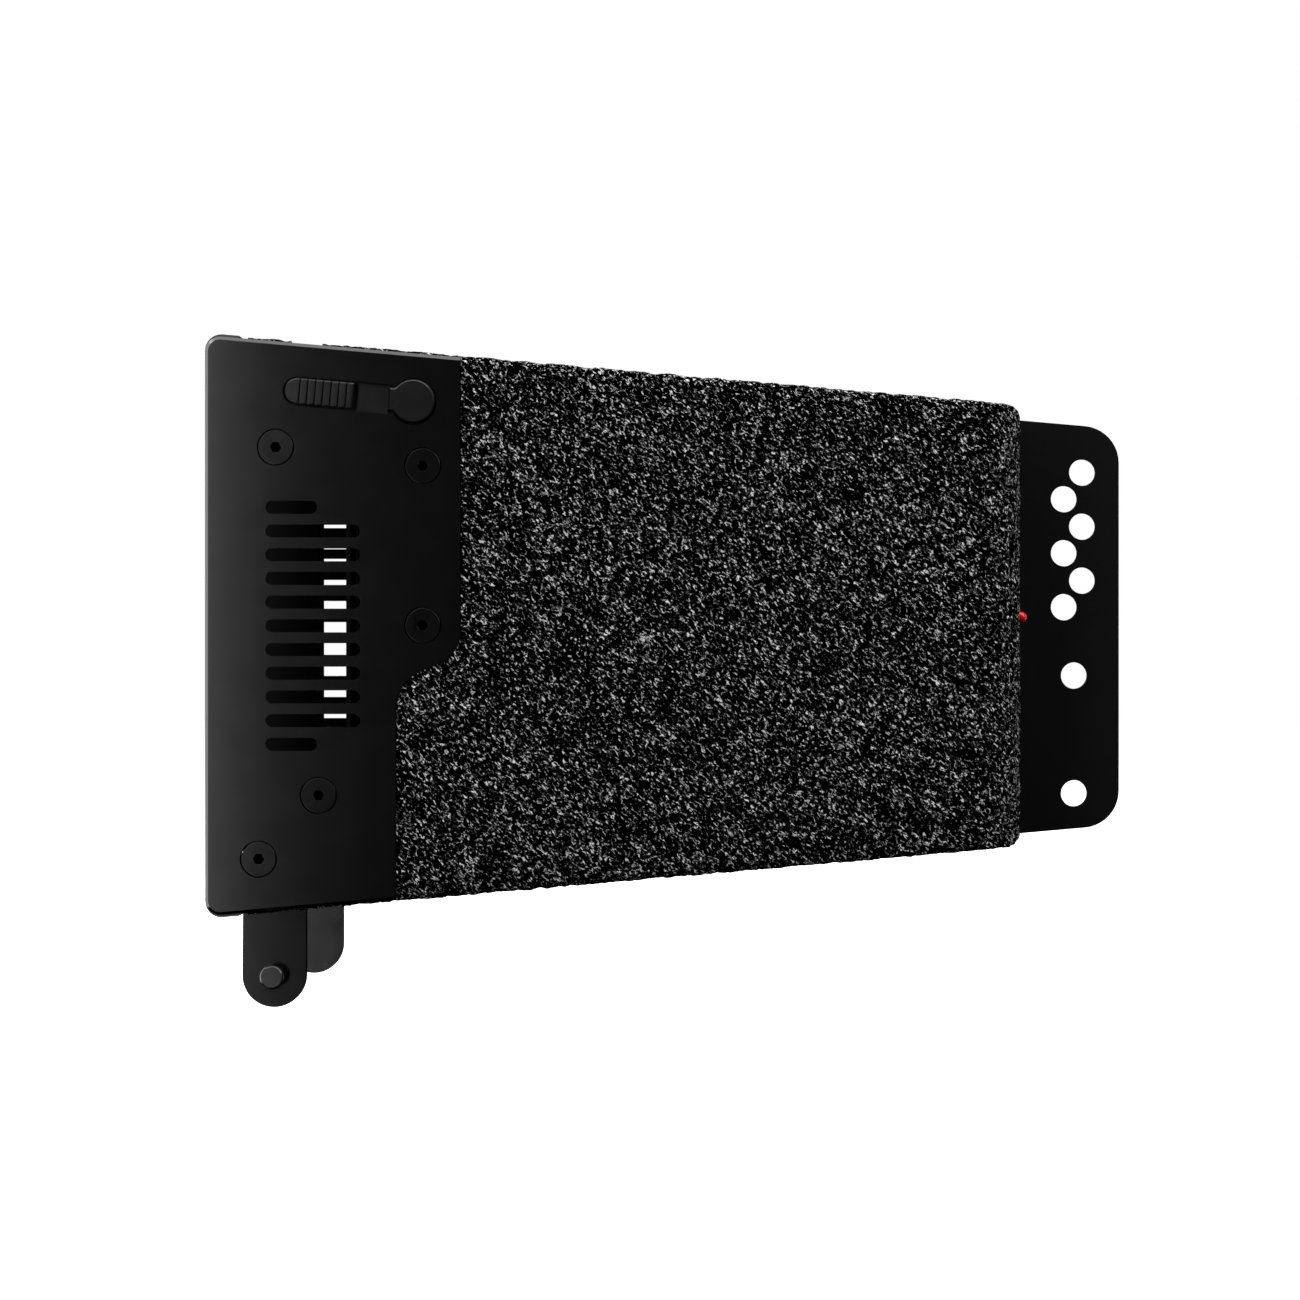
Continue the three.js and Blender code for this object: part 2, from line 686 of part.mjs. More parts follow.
function latchScrew() {
  const screw = turned(
    [
      [0, 0],
      [BOLT_SCREW.shank, 0],
      [BOLT_SCREW.shank, BOLT_SCREW.neck],
      [BOLT_SCREW.head, BOLT_SCREW.neck],
      [BOLT_SCREW.head, BOLT_SCREW.length],
      [0, BOLT_SCREW.length],
    ],
    STEM.screwAt,
    BOLT_SCREW.start,
    0,
    12,
  );
  return onTrack(screw);
}

// A leaf that lies on the cover's two posts and presses a bump against the carrier's underside.
function detentSpring() {
  const top = [
    [-10, -5.9],
    [1, -5.3],
    [5, -3.3],
    [9, -5.3],
    [25, -5.9],
  ];
  const underside = top.map(([u, v]) => [u, v - DETENT.thickness]).reverse();
  return onTrack(prism(rounded([...top, ...underside]), DETENT.front, DETENT.back));
}

function latchCover() {
  const { left, right, bottom, top, corner, front, thickness } = COVER_PLATE;
  const outline = rounded([
    [left, bottom, corner],
    [right, bottom, corner],
    [right, top, corner],
    [left, top, corner],
  ]);
  const back = front + thickness;
  const plate = prism(outline, front, back, 1);
  const bores = COVER_SCREWS.map(([u, v]) => rod(COVER_POST.plateBore, u, v, front - 1, back + 1, 8));
  return onTrack(cut(plate, ...bores));
}

// Posts on the shell that carry the latch cover.
function coverPosts() {
  return COVER_SCREWS.map(([u, v]) => {
    return onTrack(rod(COVER_POST.radius, u, v, INNER - 1, COVER_PLATE.front - GAP, 10));
  });
}

function coverPostBores() {
  return COVER_SCREWS.map(([u, v]) => {
    return onTrack(rod(COVER_POST.bore, u, v, INNER, COVER_PLATE.front + 2, 8));
  });
}

function latchCoverScrew([u, v]) {
  const { start, shank, head, headHeight } = COVER_SCREW;
  const neck = COVER_PLATE.front + COVER_PLATE.thickness + GAP - start;
  const screw = turned(
    [
      [0, 0],
      [shank, 0],
      [shank, neck],
      [head, neck],
      [head, neck + headHeight],
      [0, neck + headHeight],
    ],
    u,
    start,
    v,
    12,
  );
  return onTrack(screw);
}

function lockButton() {
  const cap = prism(buttonOutline(0), -LATCH.proud, COVER, 4);
  const { stemEnd, end } = BUTTON_BACK;
  const stem = rod(BUTTON_BACK.stem, LATCH.buttonAt, 0, COVER - 0.1, stemEnd, 16);
  const flange = rod(BUTTON_BACK.flange, LATCH.buttonAt, 0, stemEnd - 0.1, end, 16);
  return onTrack(join(cap, stem, flange));
}

// A coil spring as the tube that it fills.
function springProfile({ radius, wall }, length) {
  return [
    [radius - wall, 0],
    [radius, 0],
    [radius, length],
    [radius - wall, length],
    [radius - wall, 0],
  ];
}

function lockButtonSpring() {
  const y0 = BUTTON_BACK.end + BUTTON_SPRING.clear;
  const profile = springProfile(BUTTON_SPRING, COVER_PLATE.front - BUTTON_SPRING.clear - y0);
  return onTrack(turned(profile, LATCH.buttonAt, y0, 0, 12));
}

function redButton() {
  const x0 = END_INNER - RED.back + RED.bore - RED.headHeight - GAP;
  const tip = LENGTH + RED.proud;
  const dome = 4;
  const profile = [
    [0, 0],
    [RED.head, 0],
    [RED.head, RED.headHeight],
    [RED.radius, RED.headHeight],
    [RED.radius, tip - x0 - RED.radius],
  ];
  for (let i = 1; i <= dome; i += 1) {
    const angle = (i * Math.PI) / 2 / dome;
    const radius = i === dome ? 0 : RED.radius * Math.cos(angle);
    profile.push([radius, tip - x0 - RED.radius * (1 - Math.sin(angle))]);
  }
  return turnedAlongX(profile, x0, RED.y, RED.z);
}

function redButtonHousing() {
  const x0 = END_INNER - RED.back;
  const nose = RED.back + SHELL - 0.3;
  return turnedAlongX(
    [
      [RED.wallInside, 0],
      [RED.bushing, 0],
      [RED.bushing, RED.back - RED.flangeHeight - GAP],
      [RED.flange, RED.back - RED.flangeHeight - GAP],
      [RED.flange, RED.back - GAP],
      [RED.nose, RED.back - GAP],
      [RED.nose, nose],
      [RED.radius + 0.15, nose],
      [RED.radius + 0.15, RED.bore],
      [RED.wallInside, RED.bore],
      [RED.wallInside, 0],
    ],
    x0,
    RED.y,
    RED.z,
  );
}

function redButtonCap() {
  return turnedAlongX(
    [
      [0, -RED.cap],
      [RED.bushing, -RED.cap],
      [RED.bushing, -GAP / 2],
      [RED.capPlug, -GAP / 2],
      [RED.capPlug, RED.headHeight],
      [0, RED.headHeight],
    ],
    END_INNER - RED.back,
    RED.y,
    RED.z,
  );
}

function redButtonSpring() {
  const start = RED.headHeight + RED_SPRING.clear;
  const length = RED.bore - RED.headHeight - GAP - RED_SPRING.clear - start;
  return turnedAlongX(springProfile(RED_SPRING, length), END_INNER - RED.back + start, RED.y, RED.z);
}

function endButtonBore() {
  return turnedAlongX(
    [
      [0, 0],
      [RED.nose + 0.2, 0],
      [RED.nose + 0.2, INNER - COVER + 0.1],
      [RED.radius + 0.5, INNER - COVER + 0.1],
      [RED.radius + 0.5, INNER + 5],
      [0, INNER + 5],
    ],
    END_INNER - 0.05,
    RED.y,
    RED.z,
  );
}

function bayPad() {
  const outline = taperedOutline(PAD.left, PAD.right, PAD.margin, PAD.corner, PAD.corner);
  return prism(outline, SPINE_FRONT - GAP - PAD.thickness, SPINE_FRONT - GAP, 2);
}

function caseScrew([x, side]) {
  const { head, headHeight, shank, clear, tip } = CASE_SCREW;
  const y0 = HALF_END - LUG.thickness - headHeight - clear;
  const reach = 2 * (DEPTH / 2 - HALF_END + LUG.thickness) + headHeight + clear + tip;
  return turned(
    [
      [0, 0],
      [head, 0],
      [head, headHeight],
      [shank, headHeight],
      [shank, reach],
      [0, reach],
    ],
    x,
    y0,
    caseScrewZ(x, side),
    10,
  );
}

// ---------- assembly ----------

const group = new THREE.Group();
group.position.set(-MOUNT_POINT.x, -SPINE_FRONT, -MOUNT_POINT.z);

function put(name, body, material) {
  const { numProp, vertProperties, triVerts } = body.getMesh();
  const positions = new Float32Array((vertProperties.length / numProp) * 3);
  for (let i = 0; i < positions.length / 3; i += 1) {
    positions.set(vertProperties.subarray(i * numProp, i * numProp + 3), i * 3);
  }
  const geometry = new THREE.BufferGeometry();
  geometry.setAttribute("position", new THREE.BufferAttribute(positions, 3));
  geometry.setIndex(new THREE.BufferAttribute(new Uint32Array(triVerts), 1));
  const mesh = new THREE.Mesh(geometry, material);
  mesh.name = name;
  group.add(mesh);
}

put("spine_plate", spinePlate(), FLAT_BLACK);
put("window_grommet", windowGrommet(), MOULDED_BLACK);
put("end_bezel", endBezel(), SATIN_END);

put("front_plate", coverPlate(true), SATIN_BLACK);
put("rear_plate", mirrored(coverPlate(false)), SATIN_BLACK);
put("front_skin", cut(gripSkin(), notchCut(), endButtonBore()), GRIP_BLACK);
put("rear_skin", mirrored(gripSkin()), GRIP_BLACK);
const frontShell = join(halfShell(), ...coverPosts());
const panSeat = latchWell(PAN.grow + GAP, COVER, COVERED + PAN.thickness + GAP);
const panThrough = latchWell(PAN.throughGrow, COVER, INNER + 1);
const latchCuts = [notchCut(), panSeat, panThrough, ...coverPostBores()];
put("front_shell", cut(frontShell, endButtonBore(), ...latchCuts), MOULDED_BLACK);
put("rear_shell", mirrored(halfShell()), MOULDED_BLACK);

put("hanger_arm_front", hangerArm(), SATIN_BLACK);
put("hanger_arm_rear", mirrored(hangerArm()), SATIN_BLACK);
put("hanger_stud_front", hangerStud(), SCREW_BLACK);
put("hanger_stud_rear", mirrored(hangerStud()), SCREW_BLACK);

allScrews.forEach((place, i) => {
  const throughArm = i >= PLAIN_SCREWS.length;
  const screw = coverScrew(place, throughArm ? SCREW.longLength : SCREW.shortLength);
  const nut = shellNut(place, throughArm ? ARM_BACK + GAP : INNER + GAP);
  put(`front_screw_${i + 1}`, screw, SCREW_BLACK);
  put(`rear_screw_${i + 1}`, mirrored(screw), SCREW_BLACK);
  put(`front_nut_${i + 1}`, nut, STEEL);
  put(`rear_nut_${i + 1}`, mirrored(nut), STEEL);
});
CASE_SCREWS.forEach((place, i) => put(`case_screw_${i + 1}`, caseScrew(place), STEEL));
[1, -1].forEach((side, i) => {
  put(`bezel_screw_${i + 1}`, bezelScrew(side), SCREW_BLACK);
  put(`bezel_screw_${i + 3}`, mirrored(bezelScrew(side)), SCREW_BLACK);
});

put("latch_track", latchTrack(), SATIN_BLACK);
put("latch_slider", latchSlider(), SATIN_BLACK);
put("latch_bolt", latchBolt(), STEEL);
put("latch_screw", latchScrew(), STEEL);
put("detent_spring", detentSpring(), STEEL);
put("latch_cover", latchCover(), MOULDED_BLACK);
COVER_SCREWS.forEach((place, i) => put(`latch_cover_screw_${i + 1}`, latchCoverScrew(place), STEEL));
put("lock_button", lockButton(), SATIN_BLACK);
put("lock_button_spring", lockButtonSpring(), STEEL);

put("red_button", redButton(), SIGNAL_RED);
put("red_button_housing", redButtonHousing(), MOULDED_BLACK);
put("red_button_cap", redButtonCap(), MOULDED_BLACK);
put("red_button_spring", redButtonSpring(), STEEL);

put("front_bay_pad", bayPad(), FOAM);
put("rear_bay_pad", mirrored(bayPad()), FOAM);

export default group;
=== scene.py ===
"""The looks of a slim case that holds a small computer beside a desk leg, built around its CAD model.

Lengths in this script are millimetres in the case's own frame: x from the open end, y back from the
front face and z up from mid height. point() turns them into metres in the row frame.
"""

import json
import math

import bmesh
import bpy
import numpy as np
from mathutils import Matrix, Vector, noise

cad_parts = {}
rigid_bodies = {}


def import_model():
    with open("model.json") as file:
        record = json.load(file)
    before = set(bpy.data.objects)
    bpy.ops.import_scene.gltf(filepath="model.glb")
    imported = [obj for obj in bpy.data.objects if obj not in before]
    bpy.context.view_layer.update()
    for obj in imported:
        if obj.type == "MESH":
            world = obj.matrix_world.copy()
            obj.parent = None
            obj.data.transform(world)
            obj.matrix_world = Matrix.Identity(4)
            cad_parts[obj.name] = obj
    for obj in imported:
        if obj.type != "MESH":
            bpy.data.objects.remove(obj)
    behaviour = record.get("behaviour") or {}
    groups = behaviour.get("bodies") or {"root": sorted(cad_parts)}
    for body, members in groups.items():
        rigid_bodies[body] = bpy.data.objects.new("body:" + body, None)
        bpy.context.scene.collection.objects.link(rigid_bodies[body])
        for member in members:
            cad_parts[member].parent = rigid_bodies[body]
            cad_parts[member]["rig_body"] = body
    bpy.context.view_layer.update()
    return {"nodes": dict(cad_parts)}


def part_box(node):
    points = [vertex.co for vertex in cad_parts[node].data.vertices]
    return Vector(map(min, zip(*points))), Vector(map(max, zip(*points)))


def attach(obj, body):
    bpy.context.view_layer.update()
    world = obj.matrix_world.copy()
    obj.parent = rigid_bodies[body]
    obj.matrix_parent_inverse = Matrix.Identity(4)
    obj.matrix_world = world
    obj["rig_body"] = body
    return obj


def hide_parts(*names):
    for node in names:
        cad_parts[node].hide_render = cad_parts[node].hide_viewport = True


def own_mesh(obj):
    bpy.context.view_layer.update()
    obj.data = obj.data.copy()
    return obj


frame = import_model()

# ---------- driving dimensions, in millimetres ----------

MM = 0.001
LENGTH = 247.2
DEPTH = 90.0
HALF_HEIGHT = 88.3
TAPER = math.radians(5)
COVER = 2.2  # thickness of the cover plates and of the grip skin
GAP = 0.25  # room between pieces that don't touch
CORNER = 5.0
END_RADIUS = 16.0
EDGE_ROUND = 3.0
PLATE_INSET = 0.4
PLATE_DROP = 0.5  # how much further in its top and bottom edges lie, so that the crumbs show over them
PLATE_CHAMFER = {"width": 1.05, "depth": 1.15}
STEP = {
    "upper": 77.1,
    "lower": 57.75,
    "top": -8.6,
    "bottom": -16.8,
    "top_radius": 10.5,
    "bottom_radius": 12.0,
}
BEZEL = {"length": 10.2, "wall": 10.0, "depth_wall": 6.0, "corner": 4.0}
BEZEL_WELL = {"room": 0.3, "head_depth": 2.6, "bore": 1.7}
SHELL_START = 13.0
HALF_END = 43.75

SPINE = {
    "front": 44.0,
    "thickness": 2.0,
    "start": 3.5,
    "end": 282.4,
    "inset": 0.6,
    "corner": 11.8,
    "mouth": 77.5,
    "mouth_corner": 3.0,
    "clamp_hole": 2.3,
}
HOLE_RADIUS = 4.2
ZIGZAG = {"right": 270.8, "left": 265.0, "top": 49.15, "pitch": 17.2, "drop": 8.45, "rows": 3}
LOWER_HOLES = [(268.2, -15.5), (268.2, -53.0)]
WINDOW = {
    "left": 28.2,
    "right": 37.3,
    "half": 36.5,
    "corner": 2.5,
    "cut_corner": 3.5,
    "lip": 3.2,
    "lip_depth": 1.6,
    "depth": 14.0,
}

SLOT = {"left": 18.7, "short": 34.2, "long": 47.1, "height": 3.9, "pitch": 7.11, "count": 11}
SCREW = {
    "head": 5.2,
    "seat": 5.6,
    "sink": 0.1,
    "cone": 0.6,
    "head_height": 2.0,
    "shank": 2.4,
    "point": 0.4,
    "hex": 3.0,
    "hex_depth": 1.9,
}
HEX_CORNER = SCREW["hex"] / math.cos(math.pi / 6) / 2
PLAIN_SCREWS = [(21.7, 53.6), (65.9, 48.0), (65.9, 0.1)]
ARM_SCREWS = [(34.6, -50.9), (16.6, -70.0)]
PLAIN_LENGTH = 9.6
ARM_LENGTH = 13.0

ARM = {"left": 10.7, "right": 29.9, "centre": -105.7, "front": 5.7, "thickness": 3.0, "bore": 2.75}
ARM_FLANGE = [(29.9, -70.0), (42.0, -58.0), (42.0, -43.0), (28.0, -43.0), (11.05, -62.0)]
ARM_ROOM = {"depth": 9.0, "top": -50.0}
STUD = {"radius": 3.65, "neck": 2.6, "length": 4.5, "edge": 0.55, "neck_depth": 2.0, "hole_depth": 2.2}

TRACK_START = (28.26, 70.4)
TRACK_HALF = 4.2
PROUD = 0.8  # how far the slider and the round button stand out
LATCH_EDGE = 0.42  # width of the cut front edges of the slider and the round button
SLIDER = {
    "half": 3.9,
    "right": 16.9,
    "play": 0.1,
    "stem_left": -2.2,
    "stem_right": 3.2,
    "stem_half": 2.2,
    "stem_end": 9.0,
    "thread": 1.25,
    "thread_depth": 4.0,
}
RIBS = {"count": 7, "pitch": 2.34, "groove": 0.5, "depth": 0.8, "reach": 6.0}
BUTTON_AT = 34.9
BUTTON = {
    "radius": 6.5,
    "neck_left": 7.4,
    "neck_half": 3.4,
    "fillet": 1.6,
    "gap": 0.35,
    "stem": 5.2,
    "flange": 7.6,
    "flange_front": 3.8,
    "flange_back": 4.8,
    "travel": 1.2,
}
WELL_FLARE = 0.25  # width of the cut edge round the slider's track
WELL_LIP = 0.15  # how much of a well's rim is left out of the painted shade
NOTCH = {"left": 25.8, "right": 35.4, "back": 32.0, "floor": 78.0}
RED = {
    "y": 22.0,
    "z": 2.8,
    "radius": 1.75,
    "proud": 2.9,
    "foot": 3.0,
    "foot_length": 1.5,
    "bore": 2.25,
    "bore_depth": 10.0,
    "travel": 1.5,
}
PAD = {
    "thickness": 3.0,
    "left": 62.0,
    "right": 222.0,
    "margin": 16.0,
    "corner": 4.0,
    "crown": 1.4,
    "sink": 0.35,
}

CRUMB_GRID = 0.9  # spacing of the skin's fine mesh
CRUMB_RIDGE = 0.3  # half the height between the pits and the ridges
CRUMB = {"size": 2.4, "lean": math.radians(-40), "stretch": 0.6, "limit": 1.6}
CRUMB_NOISE = (0.7, 2.1, 2)  # roughness, step in scale, number of layers
FINE_CRUMB = {"size": 0.8, "stretch": (1.55, 1, 0.85), "lean": math.radians(45), "warp": 0.9, "bump": 1.1}
PATCH = {"size": 7.0, "share": 0.12}  # slow changes in how high the fine crumbs stand
CRUMB_HIGHLIGHT = {"from": 0.6, "to": 0.74, "power": 2.6}  # the heights over which a crumb's colour turns light: a painted highlight on the ridges

EASE = {  # width of each kind of piece's broken edges
    "plate": 0.14,
    "bezel": 0.35,
    "spine": 0.18,
    "grommet": 0.5,
    "screw": 0.05,
    "arm": 0.35,
    "stud": 0.06,
    "slider": 0.2,
    "button": 0.06,
    "inner": 0.12,
}
EDGE_SLOPE = 1.1  # depth of a cut edge for each millimetre of its width
LEAST_ROUND = 0.4  # radius that an inset body's edges keep
LEAST_CORNER = 0.6  # radius that an inset body's corners keep

ARC_STEPS = 10  # straight pieces in a rounded corner
EDGE_STEPS = 6  # straight pieces in the case's rounded edge
ROUND_STEPS = 64  # straight pieces in a full circle
COIL_STEPS = 24  # straight pieces in one turn of a spring
WIRE_STEPS = 10  # straight pieces round a spring's wire

PAST = 1.0  # how far a tool reaches past what it cuts
FAR = 100.0  # a height beyond the case's top and bottom
OVERLAP = 0.1  # how far joined solids reach into each other

CAMERA = {
    "place": (149.1, -720, -5.76),
    "lens": 66.46,
    "sensor": 36,
    "shift_x": -0.0385,
    "shift_y": -0.00385,
}
CASE_CENTRE = (LENGTH / 2, DEPTH / 2, 0)
SOFTBOXES = (  # name, place, what it is aimed at, width and height in metres, brightness
    ("left_front", (-330, -720, 0), (-330, 0, 0), 0.34, 1.3, 3.6),
    ("left_side", (-900, 500, 300), (0, 500, 300), 0.75, 1.8, 2.8),
    ("above", (-130, 320, 900), (-130, 320, 0), 1.9, 1.9, 2.7),
    ("right_high", (900, -500, 520), CASE_CENTRE, 0.6, 0.6, 5.0),
    ("right_side", (1150, 500, 60), (0, 500, 0), 0.75, 1.2, 1.4),
    ("left_rear", (-330, 810, 0), (-330, 0, 0), 0.34, 1.3, 2.4),
    ("behind", (300, 1300, 900), CASE_CENTRE, 1.2, 0.8, 2.6),
)
FLOOR = {"drop": 40, "radius": 4000, "thickness": 5}

# ---------- the frame ----------

bezel_low, bezel_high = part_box("end_bezel")
skin_low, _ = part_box("front_skin")
OPEN_END = bezel_low.x
FRONT = skin_low.y
MIDDLE = (bezel_low.z + bezel_high.z) / 2


def point(x, y, z):
    """A place in the case's frame, as metres in the row frame."""
    return Vector((OPEN_END + x * MM, FRONT + y * MM, MIDDLE + z * MM))


def in_case(place):
    """A place in the row frame, as millimetres in the case's frame."""
    return Vector(((place.x - OPEN_END) / MM, (place.y - FRONT) / MM, (place.z - MIDDLE) / MM))


def half_height(x):
    return HALF_HEIGHT - math.tan(TAPER) * x


# ---------- outlines: lists of (x, z) ----------


def arc(centre, radius, start, end, steps):
    """Points on a round stretch, its angles in degrees from +X towards +Z."""
    return [
        (
            centre[0] + radius * math.cos(math.radians(start + (end - start) * i / steps)),
            centre[1] + radius * math.sin(math.radians(start + (end - start) * i / steps)),
        )
        for i in range(steps + 1)
    ]


def rounded(corners, steps=ARC_STEPS):
    """A closed outline through (x, z, radius) corners."""
    outline = []
    for i, (x, z, radius) in enumerate(corners):
        corner = Vector((x, z))
        if radius == 0:
            outline.append((x, z))
            continue
        before = (Vector(corners[i - 1][:2]) - corner).normalized()
        after = (Vector(corners[(i + 1) % len(corners)][:2]) - corner).normalized()
        half = before.angle(after) / 2
        centre = corner + (before + after).normalized() * radius / math.sin(half)
        first = corner + before * radius / math.tan(half) - centre
        last = corner + after * radius / math.tan(half) - centre
        sweep = math.pi - 2 * half
        for k in range(steps + 1):
            a = sweep * (1 - k / steps)
            b = sweep * k / steps
            place = centre + (first * math.sin(a) + last * math.sin(b)) / math.sin(sweep)
            outline.append((place.x, place.y))
    return outline


def stadium(left, right, z, half):
    """A slot with round ends."""
    return arc((left + half, z), half, 90, 270, ROUND_STEPS // 2) + arc(
        (right - half, z), half, -90, 90, ROUND_STEPS // 2
    )


def rounded_box(left, right, half, radius):
    """A rounded rectangle, as tall above as below."""
    corners = [(left, -half), (right, -half), (right, half), (left, half)]
    return rounded([(x, z, radius) for x, z in corners])


def circle(x, z, radius, steps=ROUND_STEPS):
    return arc((x, z), radius, 0, 360, steps)[:-1]


def tapered(x0, x1, inset, left_radius, right_radius):
    """The case's outline between two x places, moved inwards."""
    low = half_height(x0) - inset
    high = half_height(x1) - inset
    return rounded(
        [
            (x0, -low, left_radius),
            (x1, -high, right_radius),
            (x1, high, right_radius),
            (x0, low, left_radius),
        ]
    )


# ---------- solids ----------


def mesh_object(name, vertices, faces):
    """A closed mesh with its faces looking outwards."""
    made = bpy.data.meshes.new(name)
    made.from_pydata(vertices, [], faces)
    turned = bmesh.new()
    turned.from_mesh(made)
    bmesh.ops.remove_doubles(turned, verts=turned.verts, dist=1e-8)
    bmesh.ops.recalc_face_normals(turned, faces=turned.faces)
    if turned.calc_volume(signed=True) < 0:
        bmesh.ops.reverse_faces(turned, faces=turned.faces)
    turned.to_mesh(made)
    turned.free()
    piece = bpy.data.objects.new(name, made)
    bpy.context.scene.collection.objects.link(piece)
    return piece


def loft(name, rings):
    """A closed body through rings of (x, y, z) places, each with as many places as the next."""
    count = len(rings[0])
    vertices = [point(*place) for ring in rings for place in ring]
    faces = [list(range(count)), list(range((len(rings) - 1) * count, len(rings) * count))]
    for level in range(len(rings) - 1):
        for i in range(count):
            j = (i + 1) % count
            a = level * count
            faces.append([a + i, a + j, a + count + j, a + count + i])
    return mesh_object(name, vertices, faces)


def prism(name, outline, y0, y1):
    return loft(name, [[(x, y, z) for x, z in outline] for y in (y0, y1)])


def block(name, x0, x1, y0, y1, z0, z1):
    return prism(name, [(x0, z0), (x1, z0), (x1, z1), (x0, z1)], y0, y1)


def turned(name, profile, centre, axis="y", steps=ROUND_STEPS):
    """A profile of (radius, along) places spun about an axis through centre, with its ends on the axis."""
    rings = []
    for radius, along in profile:
        ring = []
        for i in range(steps):
            a = 2 * math.pi * i / steps
            u = max(radius, 1e-4) * math.cos(a)
            v = max(radius, 1e-4) * math.sin(a)
            offset = (u, along, v) if axis == "y" else (along, u, v)
            ring.append(tuple(c + d for c, d in zip(centre, offset)))
        rings.append(ring)
    return loft(name, rings)


def mirrored(piece, name):
    """A copy of a front piece, seen in the case's middle plane."""
    middle = point(0, DEPTH / 2, 0).y
    copy = bpy.data.objects.new(name, piece.data.copy())
    copy.data.name = name
    copy.data.transform(Matrix.Translation((0, 2 * middle, 0)) @ Matrix.Scale(-1, 4, (0, 1, 0)))
    copy.data.flip_normals()
    bpy.context.scene.collection.objects.link(copy)
    return copy


def moved(piece, name, x, z):
    """A copy of a piece, moved across the case."""
    copy = bpy.data.objects.new(name, piece.data.copy())
    copy.data.name = name
    copy.data.transform(Matrix.Translation((x * MM, 0, z * MM)))
    bpy.context.scene.collection.objects.link(copy)
    return copy


def on_track(piece):
    """Puts a piece drawn along the X axis on the latch's track, which runs parallel to the top edge."""
    pivot = point(0, 0, 0)
    start = point(TRACK_START[0], 0, TRACK_START[1])
    tilt = Matrix.Translation(start) @ Matrix.Rotation(TAPER, 4, "Y") @ Matrix.Translation(-pivot)
    piece.data.transform(tilt)
    return piece


def settle(piece):
    """Makes what a piece's modifiers show its own mesh."""
    graph = bpy.context.evaluated_depsgraph_get()
    made = bpy.data.meshes.new_from_object(piece.evaluated_get(graph))
    old = piece.data
    piece.modifiers.clear()
    piece.data = made
    made.name = piece.name
    bpy.data.meshes.remove(old)
    return piece


def merged(tools):
    """Separate tools as one object, so that they cut in one go."""
    whole = bmesh.new()
    for tool in tools:
        whole.from_mesh(tool.data)
    whole.to_mesh(tools[0].data)
    whole.free()
    for tool in tools[1:]:
        bpy.data.objects.remove(tool)
    return tools[0]


def combine(body, tool, operation):
    step = body.modifiers.new("combine", "BOOLEAN")
    step.operation = operation
    step.solver = "MANIFOLD"
    step.object = tool
    settle(body)
    bpy.data.objects.remove(tool)
    return body


def cut(body, *tools):
    return combine(body, merged(list(tools)), "DIFFERENCE")


def meet(body, tool):
    return combine(body, tool, "INTERSECT")


def join(body, tool):
    return combine(body, tool, "UNION")


def eased(piece, width, segments=2, angle=28):
    """Breaks a piece's edges and shades it smooth between them."""
    piece.data.shade_smooth()
    tidy = piece.modifiers.new("flat_faces", "DECIMATE")
    tidy.decimate_type = "DISSOLVE"
    tidy.angle_limit = math.radians(0.5)
    edge = piece.modifiers.new("eased_edges", "BEVEL")
    edge.limit_method = "ANGLE"
    edge.angle_limit = math.radians(angle)
    edge.width = width * MM
    edge.segments = segments
    edge.harden_normals = False
    normals = piece.modifiers.new("face_normals", "WEIGHTED_NORMAL")
    normals.mode = "FACE_AREA"
    normals.keep_sharp = False
    return piece


# ---------- materials ----------


def new_look(name):
    look = bpy.data.materials.new(name)
    look.use_nodes = True
    return look, look.node_tree.nodes, look.node_tree.links, look.node_tree.nodes["Principled BSDF"]


def speckle(nodes, links, feature, detail=2.0, roughness=0.5, stretch=(1, 1, 1), turn=(0, 0, 0)):
    """A noise with features about that many millimetres across, stretched along its own turned axes."""
    places = nodes.new("ShaderNodeTexCoord")
    spread = nodes.new("ShaderNodeMapping")
    spread.vector_type = "TEXTURE"
    spread.inputs["Rotation"].default_value = turn
    spread.inputs["Scale"].default_value = stretch
    grain = nodes.new("ShaderNodeTexNoise")
    grain.inputs["Scale"].default_value = 1 / (feature * MM)
    grain.inputs["Detail"].default_value = detail
    grain.inputs["Roughness"].default_value = roughness
    links.new(places.outputs["Object"], spread.inputs["Vector"])
    links.new(spread.outputs["Vector"], grain.inputs["Vector"])
    return grain


def spread_over(nodes, links, source, low, high, from_low=0.3, from_high=0.7):
    """A noise's middle stretched from low to high."""
    fit = nodes.new("ShaderNodeMapRange")
    fit.inputs["From Min"].default_value = from_low
    fit.inputs["From Max"].default_value = from_high
    fit.inputs["To Min"].default_value = low
    fit.inputs["To Max"].default_value = high
    links.new(source, fit.inputs["Value"])
    return fit.outputs["Result"]


def shades(nodes, links, source, dark, light, from_low=0.3, from_high=0.7):
    """A colour between dark and light, by a noise."""
    blend = nodes.new("ShaderNodeMix")
    blend.data_type = "RGBA"
    blend.inputs[6].default_value = (*dark, 1)
    blend.inputs[7].default_value = (*light, 1)
    links.new(spread_over(nodes, links, source, 0, 1, from_low, from_high), blend.inputs[0])
    return blend.outputs[2]


